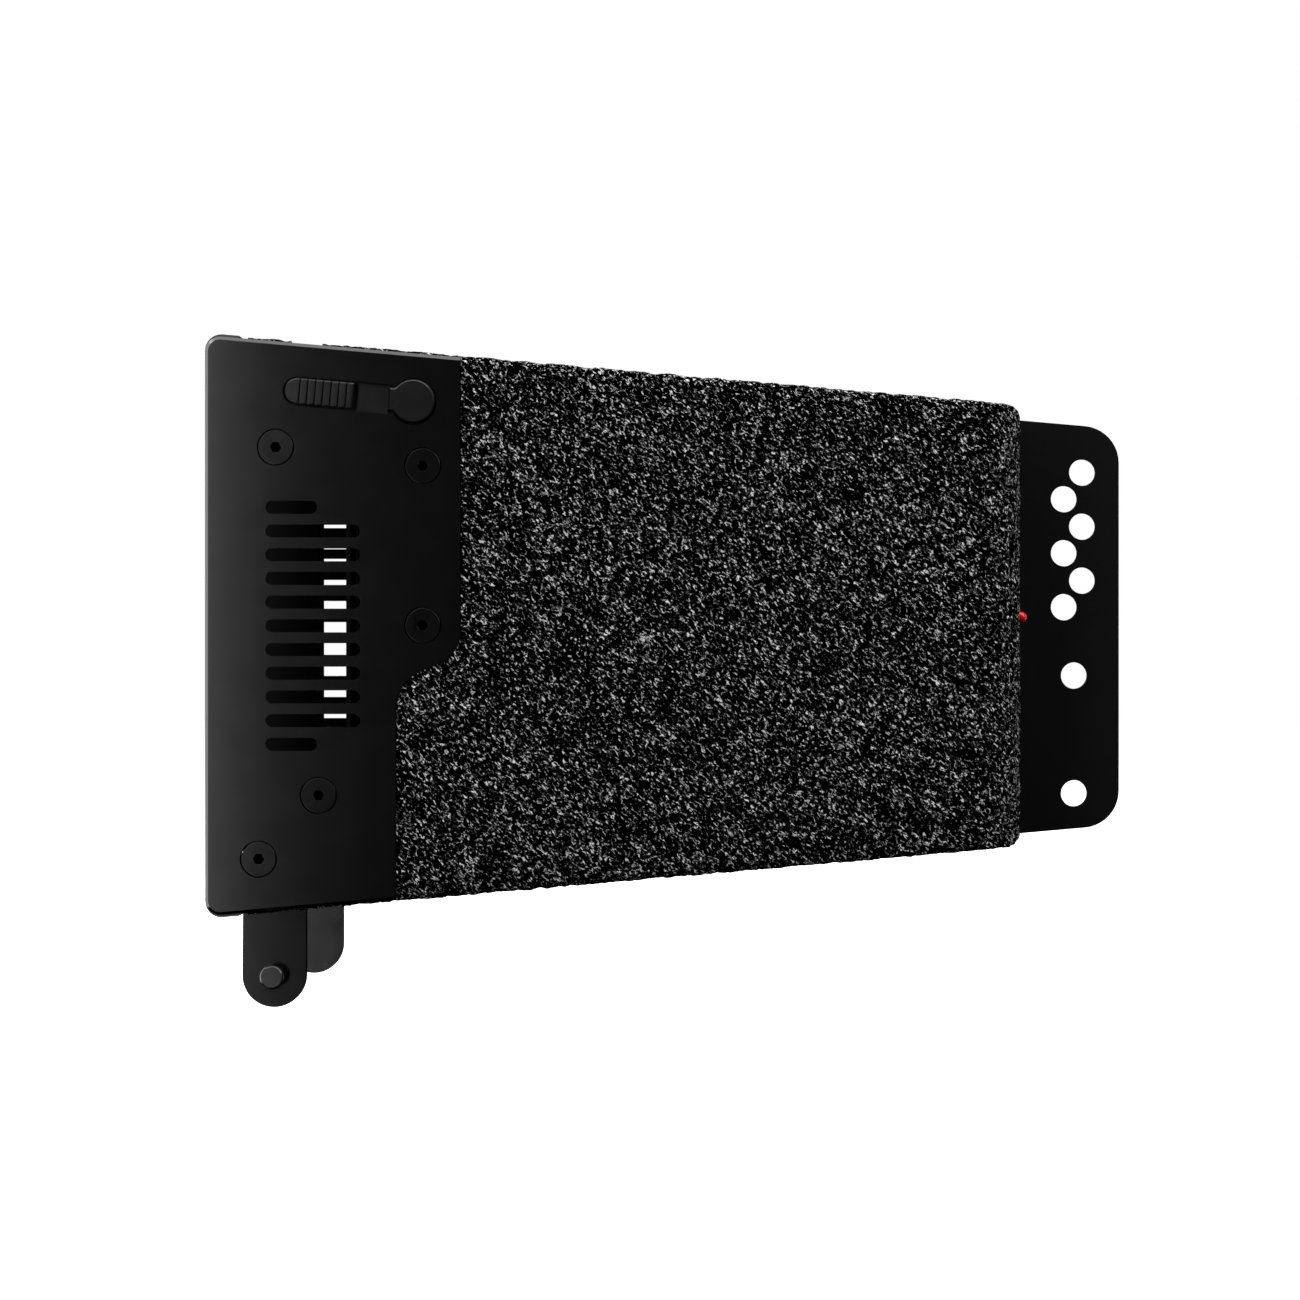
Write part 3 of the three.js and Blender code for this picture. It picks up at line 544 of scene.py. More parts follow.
def surface(name, colour, roughness, specular=0.5, grain=0.25, bump=0.02, vary=0.2, gloss_vary=0.05):
    """A painted or moulded surface: a fine grain of that many millimetres, and slow changes of gloss."""
    look, nodes, links, shader = new_look(name)
    shader.inputs["Specular IOR Level"].default_value = specular
    slow = speckle(nodes, links, 9.0, 3.0)
    fine = speckle(nodes, links, grain, 2.0, 0.6)
    dark = [c * (1 - vary) for c in colour]
    light = [c * (1 + vary) for c in colour]
    links.new(shades(nodes, links, fine.outputs["Fac"], dark, light), shader.inputs["Base Color"])
    gloss = spread_over(nodes, links, slow.outputs["Fac"], roughness - gloss_vary, roughness + gloss_vary)
    links.new(gloss, shader.inputs["Roughness"])
    relief = nodes.new("ShaderNodeBump")
    relief.inputs["Strength"].default_value = 1.0
    relief.inputs["Distance"].default_value = bump * MM
    links.new(fine.outputs["Fac"], relief.inputs["Height"])
    links.new(relief.outputs["Normal"], shader.inputs["Normal"])
    return look


def grip_look():
    """Crumbed rubber: a painted highlight, near-white colour on the crumbs' ridges, over painted shade,
    near-black colour in the pits.
    """
    look, nodes, links, shader = new_look("crumbed_rubber")
    lean = (0, FINE_CRUMB["lean"], 0)
    ridges = speckle(nodes, links, FINE_CRUMB["size"], 1.5, 0.6, FINE_CRUMB["stretch"], lean)
    ridges.inputs["Distortion"].default_value = FINE_CRUMB["warp"]
    patches = speckle(nodes, links, PATCH["size"], 2.0)
    height = nodes.new("ShaderNodeMath")
    height.operation = "MULTIPLY_ADD"
    height.inputs[1].default_value = PATCH["share"]
    links.new(patches.outputs["Fac"], height.inputs[0])
    links.new(ridges.outputs["Fac"], height.inputs[2])
    raised = spread_over(nodes, links, height.outputs[0], 0, 1, CRUMB_HIGHLIGHT["from"], CRUMB_HIGHLIGHT["to"])
    highlight_mask = nodes.new("ShaderNodeMath")
    highlight_mask.operation = "POWER"
    highlight_mask.inputs[1].default_value = CRUMB_HIGHLIGHT["power"]
    links.new(raised, highlight_mask.inputs[0])
    # Painted shade and highlight: near-black colour in the pits and near-white colour on the ridges stand in
    # for the shade and glints of lit crumbs.
    pit_shade, ridge_highlight = (0.0003, 0.0003, 0.0003), (0.9, 0.9, 0.905)
    links.new(shades(nodes, links, highlight_mask.outputs[0], pit_shade, ridge_highlight, 0, 1), shader.inputs["Base Color"])
    shine = spread_over(nodes, links, height.outputs[0], 0.0, 0.5, 0.6, 0.76)
    links.new(shine, shader.inputs["Specular IOR Level"])
    wear = spread_over(nodes, links, height.outputs[0], 0.8, 0.4, 0.5, 0.7)
    links.new(wear, shader.inputs["Roughness"])
    relief = nodes.new("ShaderNodeBump")
    relief.inputs["Strength"].default_value = 1.0
    relief.inputs["Distance"].default_value = FINE_CRUMB["bump"] * MM
    links.new(height.outputs[0], relief.inputs["Height"])
    links.new(relief.outputs["Normal"], shader.inputs["Normal"])
    return look


def brushed(name, colour, roughness):
    """Plated steel with fine drawn lines."""
    look, nodes, links, shader = new_look(name)
    shader.inputs["Metallic"].default_value = 1.0
    lines = speckle(nodes, links, 0.3, 3.0, 0.6, (16, 1, 1))
    slow = speckle(nodes, links, 6.0, 2.0)
    dark = [c * 0.8 for c in colour]
    links.new(shades(nodes, links, slow.outputs["Fac"], dark, colour), shader.inputs["Base Color"])
    gloss = spread_over(nodes, links, lines.outputs["Fac"], roughness - 0.08, roughness + 0.1)
    links.new(gloss, shader.inputs["Roughness"])
    relief = nodes.new("ShaderNodeBump")
    relief.inputs["Distance"].default_value = 0.01 * MM
    links.new(lines.outputs["Fac"], relief.inputs["Height"])
    links.new(relief.outputs["Normal"], shader.inputs["Normal"])
    return look


def foam_look():
    """Fine open foam with a soft sheen."""
    look, nodes, links, shader = new_look("fine_foam")
    shader.inputs["Sheen Weight"].default_value = 0.15
    shader.inputs["Sheen Roughness"].default_value = 0.5
    cells = nodes.new("ShaderNodeTexVoronoi")
    places = nodes.new("ShaderNodeTexCoord")
    cells.inputs["Scale"].default_value = 1 / (0.7 * MM)
    links.new(places.outputs["Object"], cells.inputs["Vector"])
    # painted shade: the cells' hollows are coloured darker than their walls
    hollow_shade, wall = (0.006, 0.006, 0.007), (0.035, 0.035, 0.038)
    colour = shades(nodes, links, cells.outputs["Distance"], hollow_shade, wall, 0.05, 0.6)
    links.new(colour, shader.inputs["Base Color"])
    gloss = spread_over(nodes, links, cells.outputs["Distance"], 1.0, 0.8, 0.0, 0.6)
    links.new(gloss, shader.inputs["Roughness"])
    relief = nodes.new("ShaderNodeBump")
    relief.inputs["Distance"].default_value = 0.25 * MM
    links.new(cells.outputs["Distance"], relief.inputs["Height"])
    links.new(relief.outputs["Normal"], shader.inputs["Normal"])
    return look


LOOKS = {
    "spine_plate": surface(
        "flat_black_coat", (0.0062, 0.0062, 0.0063), 0.5, specular=0.05, grain=0.3, bump=0.03
    ),
    "grommet": surface("soft_moulding", (0.002, 0.002, 0.0021), 0.5, specular=0.15, grain=0.4, bump=0.01),
    "end_bezel": surface("satin_bezel", (0.012, 0.012, 0.0125), 0.3, specular=0.6, bump=0.012),
    "cover_plate": surface(
        "satin_plate", (0.003, 0.003, 0.0031), 0.17, grain=0.22, bump=0.0008, gloss_vary=0.01
    ),
    "grip_skin": grip_look(),
    "case_shell": surface("matt_moulding", (0.005, 0.005, 0.0053), 0.6, specular=0.4, grain=0.5, bump=0.05),
    "hanger_arm": surface(
        "satin_arm", (0.003, 0.003, 0.0031), 0.18, specular=0.45, bump=0.001, gloss_vary=0.01
    ),
    "screws": surface("black_oxide", (0.003, 0.003, 0.0031), 0.17, grain=0.2, bump=0.001, gloss_vary=0.02),
    # painted shade: a near-black material for the insides of the screw sockets and seats
    "socket": surface("socket_painted_shade", (0.0006, 0.0006, 0.0006), 0.9, specular=0.0),
    # painted light: a lighter copy of the arm's satin black, so that the rear arm shows brighter than the
    # front one
    "hanger_arm_rear": surface("satin_arm_rear_painted_light", (0.011, 0.011, 0.0112), 0.25, bump=0.002),
    "hanger_stud": surface("stud_satin", (0.005, 0.005, 0.0051), 0.24, specular=0.7, bump=0.002),
    "inner_steel": brushed("zinc_plate", (0.42, 0.42, 0.44), 0.32),
    "spring_steel": brushed("spring_wire", (0.36, 0.36, 0.37), 0.28),
    "latch": surface("satin_latch", (0.006, 0.006, 0.0062), 0.22, grain=0.22, bump=0.0015, gloss_vary=0.02),
    "red_button": surface("signal_red", (0.75, 0.006, 0.012), 0.18, grain=0.8, bump=0.002, vary=0.04),
    "bay_pad": foam_look(),
}

SLOTS = {
    "spine_plate": "spine_plate",
    "window_grommet": "grommet",
    "end_bezel": "end_bezel",
    "front_plate": "cover_plate",
    "rear_plate": "cover_plate",
    "front_skin": "grip_skin",
    "rear_skin": "grip_skin",
    "front_shell": "case_shell",
    "rear_shell": "case_shell",
    "latch_track": "latch",
    "latch_slider": "latch",
    "lock_button": "latch",
    "latch_cover": "case_shell",
    "red_button": "red_button",
    "red_button_housing": "case_shell",
    "red_button_cap": "case_shell",
    "front_bay_pad": "bay_pad",
    "rear_bay_pad": "bay_pad",
}


def slot_for(node):
    """The record's material slot of a CAD node."""
    if node in SLOTS:
        return SLOTS[node]
    if "spring" in node:
        return "spring_steel"
    if node.startswith("hanger_arm"):
        return "hanger_arm"
    if node.startswith(("front_screw", "rear_screw", "bezel_screw", "hanger_stud")):
        return "screws"
    return "inner_steel"


def stands_for(piece, node, look=None):
    """piece takes a CAD node's place, body and finish."""
    slot = slot_for(node)
    piece.data.materials.clear()
    piece.data.materials.append(LOOKS[look or slot])
    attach(piece, frame["nodes"][node]["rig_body"])
    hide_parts(node)


def paint_shade_in_wells(piece, places, radius, depth):
    """Gives the walls and floors of the wells in a piece's outer face a flat black material: painted shade
    in the screw sockets and seats.
    """
    piece.data.materials.append(LOOKS["socket"])
    for face in piece.data.polygons:
        corners = [in_case(piece.data.vertices[i].co) for i in face.vertices]
        sunk = sum(min(c.y, DEPTH - c.y) for c in corners) / len(corners)
        if not WELL_LIP < sunk < depth + WELL_LIP:
            continue
        if any(all(math.hypot(c.x - x, c.z - z) < radius + WELL_LIP for c in corners) for x, z in places):
            face.material_index = 1


# ---------- cover plates ----------


def plate_outline(grow, overshoot):
    """A cover plate's front view. Its right edge is straight but for an S-shaped step to the left."""
    inset = PLATE_INSET - grow - overshoot
    upper = STEP["upper"] + grow
    lower = STEP["lower"] + grow
    return rounded(
        [
            (inset, -half_height(inset) + inset, 0),
            (lower, -half_height(lower) + inset, 0),
            (lower, STEP["bottom"], STEP["bottom_radius"]),
            (upper, STEP["top"], STEP["top_radius"]),
            (upper, half_height(upper) - inset, 0),
            (inset, half_height(inset) - inset, 0),
        ]
    )


def track_outline(grow):
    return stadium(-TRACK_HALF - grow, BUTTON_AT, 0, TRACK_HALF + grow)


def disc_outline(grow):
    return circle(BUTTON_AT, 0, BUTTON["radius"] + BUTTON["gap"] + grow)


def latch_well():
    """A tool that opens the plate for the slider's track and the round button, flared at the front."""
    levels = [(2 * WELL_FLARE, -WELL_FLARE), (0, WELL_FLARE), (0, COVER + PAST)]
    tools = []
    for name, outline_at in (("track", track_outline), ("disc", disc_outline)):
        rings = [[(x, y, z) for x, z in outline_at(grow)] for grow, y in levels]
        tools.append(on_track(loft(name, rings)))
    return join(*tools)


def cover_plate(name, with_latch):
    width, depth = PLATE_CHAMFER["width"], PLATE_CHAMFER["depth"]
    rings = []
    for inset, y in ((PLATE_INSET + width, 0), (PLATE_INSET, depth), (PLATE_INSET, COVER)):
        outline = tapered(inset, LENGTH, inset + PLATE_DROP, CORNER - inset, 0)
        rings.append([(x, y, z) for x, z in outline])
    plate = meet(loft(name, rings), prism("edge", plate_outline(0, 3 * PAST), -PAST, COVER + PAST))
    middle = (SLOT["count"] - 1) / 2
    tools = []
    for i in range(SLOT["count"]):
        right = SLOT["short"] if i in (0, SLOT["count"] - 1) else SLOT["long"]
        z = (i - middle) * SLOT["pitch"]
        outline = stadium(SLOT["left"], right, z, SLOT["height"] / 2)
        tools.append(prism("slot", outline, -PAST, COVER + PAST))
    for x, z in PLAIN_SCREWS + ARM_SCREWS:
        tools.append(prism("seat", circle(x, z, SCREW["seat"]), -PAST, COVER + PAST))
    cut(plate, *tools)
    return cut(plate, latch_well()) if with_latch else plate


front_plate = cover_plate("front_plate_satin", True)
rear_plate = mirrored(cover_plate("rear_plate_front_view", False), "rear_plate_satin")
bpy.data.objects.remove(bpy.data.objects["rear_plate_front_view"])
for plate, node in ((front_plate, "front_plate"), (rear_plate, "rear_plate")):
    eased(plate, EASE["plate"])
    stands_for(plate, node)
    # painted shade on the walls of the screw seats
    paint_shade_in_wells(plate, PLAIN_SCREWS + ARM_SCREWS, SCREW["seat"], COVER)

# ---------- grip skins ----------


def case_body(name, inset):
    """The whole case at an inset from its outer surface, rounded along its edges and its closed end."""
    round_off = max(EDGE_ROUND - inset, LEAST_ROUND)
    right = LENGTH - inset
    rings = []
    levels = [math.pi / 2 * i / EDGE_STEPS for i in range(EDGE_STEPS + 1)]
    for near in (True, False):
        for a in levels if near else reversed(levels):
            back = round_off * (1 - math.sin(a))
            deep = inset + round_off * (1 - math.cos(a))
            y = deep if near else DEPTH - deep
            corner = max(CORNER - inset - back, LEAST_CORNER)
            outline = tapered(inset + back, right - back, inset + back, corner, corner)
            rings.append([(x, y, z) for x, z in outline])
    body = loft(name, rings)
    radius = END_RADIUS - inset
    low, high = inset, DEPTH - inset
    plan = (
        [(inset - PAST, low - PAST), (right - radius, low - PAST)]
        + arc((right - radius, low + radius), radius, -90, 0, 2 * ARC_STEPS)
        + arc((right - radius, high - radius), radius, 0, 90, 2 * ARC_STEPS)
        + [(right - radius, high + PAST), (inset - PAST, high + PAST)]
    )
    column = loft("plan", [[(x, y, z) for x, y in plan] for z in (-FAR, FAR)])
    return meet(body, column)


def crumble(piece):
    """Raises ridges and pits on a finely meshed body, leaning the way the crumbs were rolled."""
    mesh = piece.data
    count = len(mesh.vertices)
    places = np.zeros(count * 3)
    normals = np.zeros(count * 3)
    mesh.vertices.foreach_get("co", places)
    mesh.vertices.foreach_get("normal", normals)
    places = places.reshape(-1, 3)
    normals = normals.reshape(-1, 3)
    lean = CRUMB["lean"]
    along = places[:, 0] * math.cos(lean) + places[:, 2] * math.sin(lean)
    across = -places[:, 0] * math.sin(lean) + places[:, 2] * math.cos(lean)
    sample = np.stack([along * CRUMB["stretch"], places[:, 1], across], 1) / (CRUMB["size"] * MM)
    heights = np.array([noise.multi_fractal(Vector(p), *CRUMB_NOISE) for p in sample])
    heights = (heights - heights.mean()) / heights.std()
    lift = np.clip(heights, -CRUMB["limit"], CRUMB["limit"]) / CRUMB["limit"]
    depth = (lift - 1) * CRUMB_RIDGE
    moved_places = places + normals * depth[:, None] * MM
    mesh.vertices.foreach_set("co", moved_places.ravel())
    mesh.update()


def fine_case():
    """The case's outer surface as a fine, even mesh with its crumbed relief."""
    body = case_body("crumbed_case", 0)
    grid = body.modifiers.new("even_grid", "REMESH")
    grid.mode = "VOXEL"
    grid.voxel_size = CRUMB_GRID * MM
    settle(body)
    crumble(body)
    return body


def grip_skin(outer, name, notch):
    """Half of the crumbed case as a skin, with room for the plate, the arm, the latch and the red button."""
    skin = bpy.data.objects.new(name, outer.data.copy())
    bpy.context.scene.collection.objects.link(skin)
    meet(skin, block("half", SHELL_START, LENGTH + PAST, -PAST, HALF_END, -FAR, FAR))
    cut(skin, case_body("inner", COVER))
    cut(skin, prism("plate_room", plate_outline(GAP, 3 * PAST), -PAST, COVER + GAP))
    arm_sides = (0, ARM["right"] + GAP, ARM["front"] - GAP, ARM_ROOM["depth"])
    cut(skin, block("arm_room", *arm_sides, -FAR, ARM_ROOM["top"]))
    if notch:
        notch_sides = (NOTCH["left"], NOTCH["right"], -PAST, NOTCH["back"])
        cut(skin, block("notch", *notch_sides, NOTCH["floor"], FAR))
        low, high = LENGTH - RED["bore_depth"], LENGTH + 2 * PAST
        profile = [(0, low), (RED["bore"], low), (RED["bore"], high), (0, high)]
        cut(skin, turned("bore", profile, (0, RED["y"], RED["z"]), "x"))
    return skin


crumbed = fine_case()
front_skin = grip_skin(crumbed, "front_skin_crumb", True)
plain_half = grip_skin(crumbed, "plain_half", False)
rear_skin = mirrored(plain_half, "rear_skin_crumb")
bpy.data.objects.remove(plain_half)
bpy.data.objects.remove(crumbed)
for skin, node in ((front_skin, "front_skin"), (rear_skin, "rear_skin")):
    skin.data.shade_smooth()
    skin.data.set_sharp_from_angle(angle=math.radians(50))
    stands_for(skin, node)

# ---------- end bezel, spine and window ----------


def bezel():
    low = COVER + GAP
    end = block("end", -PAST, BEZEL["length"], low, DEPTH - low, -FAR, FAR)
    body = meet(case_body("end_bezel_satin", 0), end)
    front = low + BEZEL["depth_wall"]
    mouth = rounded_box(front, DEPTH - front, half_height(0) - BEZEL["wall"], BEZEL["corner"])
    ends = (-5 * PAST, BEZEL["length"] + 5 * PAST)
    return cut(body, loft("tunnel", [[(x, y, z) for y, z in mouth] for x in ends]))


def screw_wells():
    """Counterbores and bores of the four screws that hold the bezel."""
    tools = []
    for i in range(1, 5):
        low, high = (in_case(corner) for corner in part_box(f"bezel_screw_{i}"))
        head = (high.z - low.z) / 2 + BEZEL_WELL["room"]
        floor, bore, end = BEZEL_WELL["head_depth"], BEZEL_WELL["bore"], BEZEL["length"] + PAST
        profile = [(0, -PAST), (head, -PAST), (head, floor), (bore, floor), (bore, end), (0, end)]
        tools.append(turned("well", profile, (0, *((low + high) / 2).yz), "x"))
    return tools


end_bezel = cut(bezel(), *screw_wells())
eased(end_bezel, EASE["bezel"], 3)
stands_for(end_bezel, "end_bezel")


def window_outline(grow, corner):
    return rounded_box(WINDOW["left"] - grow, WINDOW["right"] + grow, WINDOW["half"] + grow, corner)


def spine():
    front, back = SPINE["front"], SPINE["front"] + SPINE["thickness"]
    mouth, round_off = SPINE["mouth"], SPINE["mouth_corner"]
    step = half_height(SHELL_START) - SPINE["inset"]
    far = half_height(SPINE["end"]) - SPINE["inset"]
    outline = rounded(
        [
            (SPINE["start"], -mouth, round_off),
            (SHELL_START, -mouth, 0),
            (SHELL_START, -step, 0),
            (SPINE["end"], -far, SPINE["corner"]),
            (SPINE["end"], far, SPINE["corner"]),
            (SHELL_START, step, 0),
            (SHELL_START, mouth, 0),
            (SPINE["start"], mouth, round_off),
        ]
    )
    holes = list(LOWER_HOLES)
    for row in range(ZIGZAG["rows"]):
        z = ZIGZAG["top"] - row * ZIGZAG["pitch"]
        holes += [(ZIGZAG["right"], z), (ZIGZAG["left"], z - ZIGZAG["drop"])]
    openings = [circle(x, z, HOLE_RADIUS) for x, z in holes]
    openings.append(window_outline(WINDOW["lip"] / 2, WINDOW["cut_corner"]))
    for i in range(1, 5):
        low, high = (in_case(corner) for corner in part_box(f"case_screw_{i}"))
        openings.append(circle(*((low + high) / 2).xz, SPINE["clamp_hole"]))
    tools = [prism("opening", opening, front - PAST, back + PAST) for opening in openings]
    return cut(prism("spine_plate_coated", outline, front, back), *tools)


spine_plate = eased(spine(), EASE["spine"])
stands_for(spine_plate, "spine_plate")


def grommet():
    def ring(name, grow, half_depth):
        outline = window_outline(grow, WINDOW["corner"] + grow / 2)
        return prism(name, outline, DEPTH / 2 - half_depth, DEPTH / 2 + half_depth)

    clear = SPINE["thickness"] / 2 + GAP
    sleeve = ring("window_grommet_soft", WINDOW["lip"] / 2 - GAP, WINDOW["depth"] / 2)
    groove = ring("groove", WINDOW["lip"] + PAST, clear)
    lips = cut(ring("lips", WINDOW["lip"], clear + WINDOW["lip_depth"]), groove)
    return cut(join(sleeve, lips), ring("passage", 0, WINDOW["depth"]))


window_grommet = eased(grommet(), EASE["grommet"], 4)
stands_for(window_grommet, "window_grommet")

# ---------- screws, arms and studs ----------


def socket(depth):
    """A hexagon socket with its corners to the left and right."""
    return prism("socket", circle(0, 0, HEX_CORNER, 6), -PAST, depth)


def cover_screw(name, length):
    head, shank = SCREW["head"], SCREW["shank"]
    sink, point_cut = SCREW["sink"], SCREW["point"]
    profile = [
        (0, sink),
        (head - sink, sink),
        (head, 2 * sink),
        (head, SCREW["cone"] + sink),
        (shank + sink, SCREW["head_height"] + sink),
        (shank, SCREW["head_height"] + point_cut),
        (shank, length + sink - point_cut),
        (shank - point_cut, length + sink),
        (0, length + sink),
    ]
    return cut(turned(name, profile, (0, 0, 0)), socket(SCREW["hex_depth"]))


master_short = cover_screw("short_screw", PLAIN_LENGTH)
master_long = cover_screw("long_screw", ARM_LENGTH)
for i, (x, z) in enumerate(PLAIN_SCREWS + ARM_SCREWS, 1):
    master = master_short if i <= len(PLAIN_SCREWS) else master_long
    front_screw = moved(master, f"front_screw_{i}_black", x, z)
    rear_screw = mirrored(front_screw, f"rear_screw_{i}_black")
    for screw, node in ((front_screw, f"front_screw_{i}"), (rear_screw, f"rear_screw_{i}")):
        eased(screw, EASE["screw"])
        stands_for(screw, node)
        # painted shade in the hex socket
        paint_shade_in_wells(screw, [(x, z)], HEX_CORNER, SCREW["hex_depth"])
bpy.data.objects.remove(master_short)
bpy.data.objects.remove(master_long)


def hanger_arm(name):
    """A flat arm: a round end that holds the stud, and a flange that two of the cover screws hold."""
    half = (ARM["right"] - ARM["left"]) / 2
    middle = (ARM["left"] + ARM["right"]) / 2
    outline = arc((middle, ARM["centre"]), half, 180, 360, ROUND_STEPS // 2) + ARM_FLANGE
    tools = [prism("bore", circle(x, z, ARM["bore"]), 0, 20 * PAST) for x, z in ARM_SCREWS]
    stud_hole = circle(middle, ARM["centre"], STUD["neck"] + OVERLAP)
    tools.append(prism("stud_hole", stud_hole, 0, ARM["front"] + STUD["hole_depth"]))
    return cut(prism(name, outline, ARM["front"], ARM["front"] + ARM["thickness"]), *tools)


def hanger_stud(name):
    radius = STUD["radius"]
    edge = STUD["edge"]
    shoulder = STUD["length"] - GAP / 2
    foot = STUD["length"] + STUD["neck_depth"]
    profile = [(0, 0), (radius - edge, 0), (radius, edge * EDGE_SLOPE)]
    profile += [(radius, shoulder), (STUD["neck"], shoulder), (STUD["neck"], foot), (0, foot)]
    middle = (ARM["left"] + ARM["right"]) / 2
    return turned(name, profile, (middle, ARM["front"] - STUD["length"], ARM["centre"]))


front_arm = hanger_arm("hanger_arm_front_satin")
rear_arm = mirrored(front_arm, "hanger_arm_rear_satin")
front_stud = hanger_stud("hanger_stud_front_black")
rear_stud = mirrored(front_stud, "hanger_stud_rear_black")
# The rear arm takes the lighter copy of the arm's finish, which is painted light.
for arm, node, look in (
    (front_arm, "hanger_arm_front", "hanger_arm"),
    (rear_arm, "hanger_arm_rear", "hanger_arm_rear"),
):
    eased(arm, EASE["arm"], 3)
    stands_for(arm, node, look)
for stud, node in ((front_stud, "hanger_stud_front"), (rear_stud, "hanger_stud_rear")):
    eased(stud, EASE["stud"])
    stands_for(stud, node, "hanger_stud")

# ---------- latch ----------


def slider_outline(inset):
    half = SLIDER["half"] - inset
    right = SLIDER["right"] - inset
    return arc((0, 0), half, 90, 270, ROUND_STEPS // 2) + [(right, -half), (right, half)]


def edged_prism(name, outline_at, edge, y0, y1):
    """A prism with its front edge cut back by that width."""
    rings = [(edge, y0), (0, y0 + edge * EDGE_SLOPE), (0, y1)]
    return loft(name, [[(x, y, z) for x, z in outline_at(back)] for back, y in rings])


def latch_slider():
    """A ribbed slider, with a stem through the plate that the carrier is screwed to."""
    back = COVER - SLIDER["play"]
    slider = edged_prism("latch_slider_ribbed", slider_outline, LATCH_EDGE, -PROUD, back)
    grooves = []
    for i in range(RIBS["count"]):
        x = SLIDER["right"] - (i + 1) * RIBS["pitch"]
        sides = (x, x + RIBS["groove"], -PROUD - PAST, -PROUD + RIBS["depth"])
        grooves.append(block("groove", *sides, -RIBS["reach"], RIBS["reach"]))
    cut(slider, *grooves)
    left, right, half, end = (SLIDER[key] for key in ("stem_left", "stem_right", "stem_half", "stem_end"))
    join(slider, block("stem", left, right, back - OVERLAP, end, -half, half))
    thread = circle((left + right) / 2, 0, SLIDER["thread"])
    return on_track(cut(slider, prism("thread", thread, end - SLIDER["thread_depth"], end + PAST)))


def button_outline(inset):
    """A disc with a short straight neck towards the slider."""
    radius = BUTTON["radius"] - inset
    half = BUTTON["neck_half"] - inset
    fillet = BUTTON["fillet"]
    left = BUTTON_AT - BUTTON["neck_left"] + inset
    lift = half + fillet
    run = math.sqrt((radius + fillet) ** 2 - lift**2)
    touch = math.degrees(math.atan2(lift, -run))
    outline = arc((BUTTON_AT, 0), radius, -touch, touch, ROUND_STEPS)
    outline += arc((BUTTON_AT - run, lift), fillet, touch - 180, -90, ARC_STEPS)
    outline += [(left, half), (left, -half)]
    return outline + arc((BUTTON_AT - run, -lift), fillet, 90, 180 - touch, ARC_STEPS)


def lock_button():
    button = edged_prism("lock_button_satin", button_outline, LATCH_EDGE, -PROUD, COVER)
    front, back = BUTTON["flange_front"], BUTTON["flange_back"]
    join(button, prism("stem", circle(BUTTON_AT, 0, BUTTON["stem"]), COVER - OVERLAP, front))
    join(button, prism("flange", circle(BUTTON_AT, 0, BUTTON["flange"]), front - OVERLAP, back))
    return on_track(button)


slider = eased(latch_slider(), EASE["slider"])
stands_for(slider, "latch_slider")
button = eased(lock_button(), EASE["button"])
stands_for(button, "lock_button")

# ---------- red button ----------


def red_button():
    start = in_case(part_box("red_button")[0]).x
    shoulder = start + RED["foot_length"]
    tip = LENGTH + RED["proud"]
    radius = RED["radius"]
    profile = [(0, start), (RED["foot"], start), (RED["foot"], shoulder), (radius, shoulder)]
    for i in range(ARC_STEPS + 1):
        a = math.pi / 2 * i / ARC_STEPS
        profile.append((radius * math.cos(a), tip - radius * (1 - math.sin(a))))
    return turned("red_button_dome", profile, (0, RED["y"], RED["z"]), "x")


red_dome = red_button()
red_dome.data.shade_smooth()
red_dome.data.set_sharp_from_angle(angle=math.radians(40))
stands_for(red_dome, "red_button")

# ---------- the buttons' springs ----------


def coil(name, start, end, radius, wire, turns):
    """A coil spring of round wire between two places, its first and last turns closed up."""
    start, end = Vector(start), Vector(end)
    axis = (end - start).normalized()
    side = axis.orthogonal().normalized()
    other = axis.cross(side)
    reach = (end - start).length - 2 * wire
    steps = COIL_STEPS * turns
    rings = []
    for i in range(steps + 1):
        a = 2 * math.pi * i / COIL_STEPS
        share = min(max((i / COIL_STEPS - 1) / (turns - 2), 0), 1)
        outwards = side * math.cos(a) + other * math.sin(a)
        middle = start + axis * (wire + reach * share) + outwards * (radius - wire)
        ring = []
        for k in range(WIRE_STEPS):
            b = 2 * math.pi * k / WIRE_STEPS
            ring.append(tuple(middle + outwards * wire * math.cos(b) + axis * wire * math.sin(b)))
        rings.append(ring)
    return loft(name, rings)


def button_spring(node, axis, wire, turns):
    """A coil spring along an axis of the case, from end to end of its CAD node's box; it keeps this length,
    though the real spring gets shorter as its button is pressed.
    """
    low, high = (in_case(corner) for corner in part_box(node))
    start = (low + high) / 2
    end = start.copy()
    start[axis], end[axis] = low[axis], high[axis]
    spring = coil(f"{node}_coil", start, end, (high.z - low.z) / 2, wire, turns)
    spring.data.shade_smooth()
    stands_for(spring, node)
    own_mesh(spring)


button_spring(
    "lock_button_spring",
    axis=1,
    wire=0.35,
    turns=7,
)
button_spring(
    "red_button_spring",
    axis=0,
    wire=0.3,
    turns=9,
)

# ---------- bay pads ----------


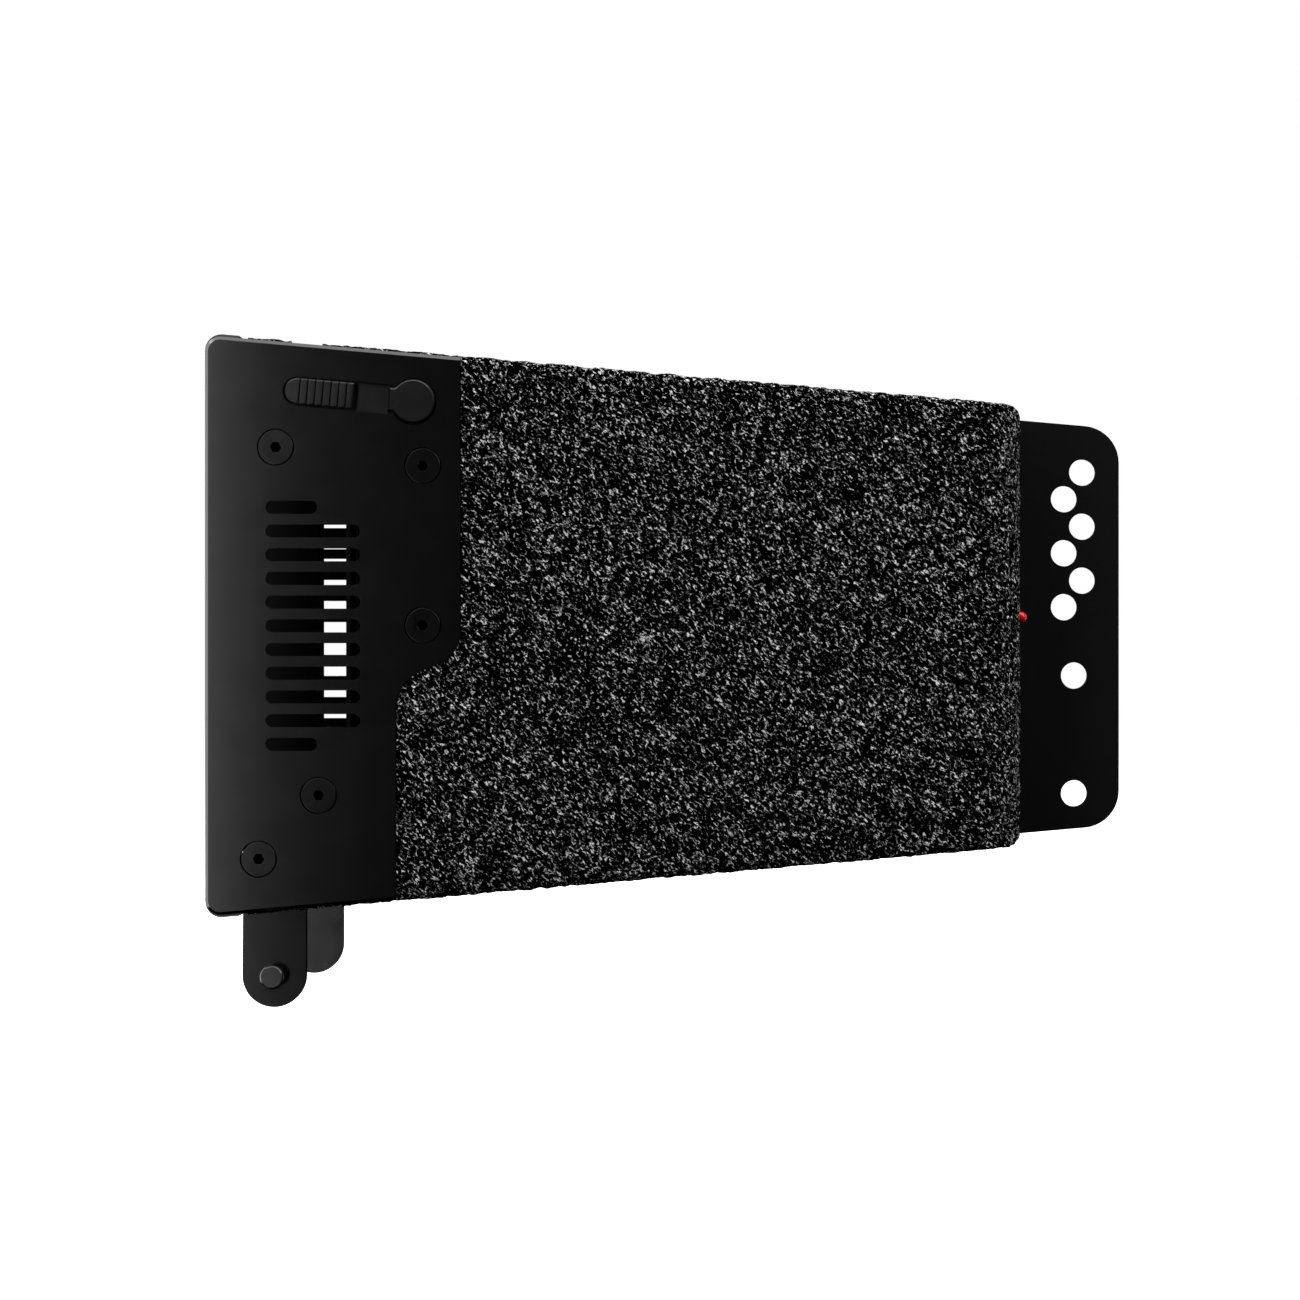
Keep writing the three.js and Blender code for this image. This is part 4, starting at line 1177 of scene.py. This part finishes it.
def bay_pad(name):
    """Thin foam on the spine, crowned a little towards the bay."""
    back = SPINE["front"] - GAP
    front = back - PAD["thickness"] + PAD["sink"]
    rings = []
    for i in range(ARC_STEPS + 1):
        a = math.pi / 2 * i / ARC_STEPS
        inset = PAD["crown"] * (1 - math.sin(a))
        y = front + PAD["crown"] * (1 - math.cos(a))
        left, right = PAD["left"], PAD["right"]
        low = half_height(left) - PAD["margin"] - inset
        high = half_height(right) - PAD["margin"] - inset
        corners = [(left + inset, -low), (right - inset, -high), (right - inset, high), (left + inset, low)]
        outline = rounded([(x, z, PAD["corner"] - inset) for x, z in corners])
        rings.append([(x, y, z) for x, z in outline])
    rings.append([(x, back, z) for x, y, z in rings[-1]])
    return loft(name, rings)


front_pad = bay_pad("front_bay_foam")
rear_pad = mirrored(front_pad, "rear_bay_foam")
for pad, node in ((front_pad, "front_bay_pad"), (rear_pad, "rear_bay_pad")):
    pad.data.shade_smooth()
    pad.data.set_sharp_from_angle(angle=math.radians(40))
    stands_for(pad, node)

# ---------- CAD nodes that stay ----------

for node, piece in frame["nodes"].items():
    if piece.hide_render:
        continue
    piece.data.materials.clear()
    piece.data.materials.append(LOOKS[slot_for(node)])
    eased(piece, EASE["inner"])

# ---------- studio ----------


def soft_light(name, place, target, width, height, radiance):
    """A softbox of that brightness, aimed at a place on the case."""
    lamp = bpy.data.lights.new(name, "AREA")
    lamp.shape = "RECTANGLE"
    lamp.size = width
    lamp.size_y = height
    lamp.energy = radiance * math.pi * width * height
    made = bpy.data.objects.new(name, lamp)
    made.location = point(*place)
    made.rotation_euler = (point(*target) - made.location).to_track_quat("-Z", "Y").to_euler()
    bpy.context.scene.collection.objects.link(made)


for softbox in SOFTBOXES:
    soft_light(*softbox)

# The white surroundings are for the camera only, and light nothing.
world = bpy.data.worlds.new("studio")
world.use_nodes = True
world.node_tree.nodes["Background"].inputs["Color"].default_value = (1, 1, 1, 1)
world.node_tree.nodes["Background"].inputs["Strength"].default_value = 1.0
world.cycles_visibility.diffuse = False
world.cycles_visibility.glossy = False
bpy.context.scene.world = world


def studio_floor():
    """A wide pale floor below the case, lit softly from within so that it stays even."""
    top = in_case(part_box("hanger_arm_front")[0]).z - FLOOR["drop"]
    outline = circle(CASE_CENTRE[0], CASE_CENTRE[1], FLOOR["radius"])
    floor = loft("floor", [[(x, y, z) for x, y in outline] for z in (top - FLOOR["thickness"], top)])
    look, nodes, links, shader = new_look("pale_floor")
    shader.inputs["Base Color"].default_value = (0.85, 0.85, 0.85, 1)
    shader.inputs["Roughness"].default_value = 0.9
    shader.inputs["Emission Color"].default_value = (1, 1, 1, 1)
    shader.inputs["Emission Strength"].default_value = 1.0
    floor.data.materials.append(look)
    floor.visible_diffuse = False
    floor.visible_glossy = False


studio_floor()

camera_data = bpy.data.cameras.new("camera")
camera_data.lens = CAMERA["lens"]
camera_data.sensor_width = CAMERA["sensor"]
camera_data.shift_x = CAMERA["shift_x"]
camera_data.shift_y = CAMERA["shift_y"]
camera = bpy.data.objects.new("camera", camera_data)
camera.location = point(*CAMERA["place"])
camera.rotation_euler = (math.pi / 2, 0, 0)
bpy.context.scene.collection.objects.link(camera)
bpy.context.scene.camera = camera
bpy.context.scene.view_settings.view_transform = "Standard"
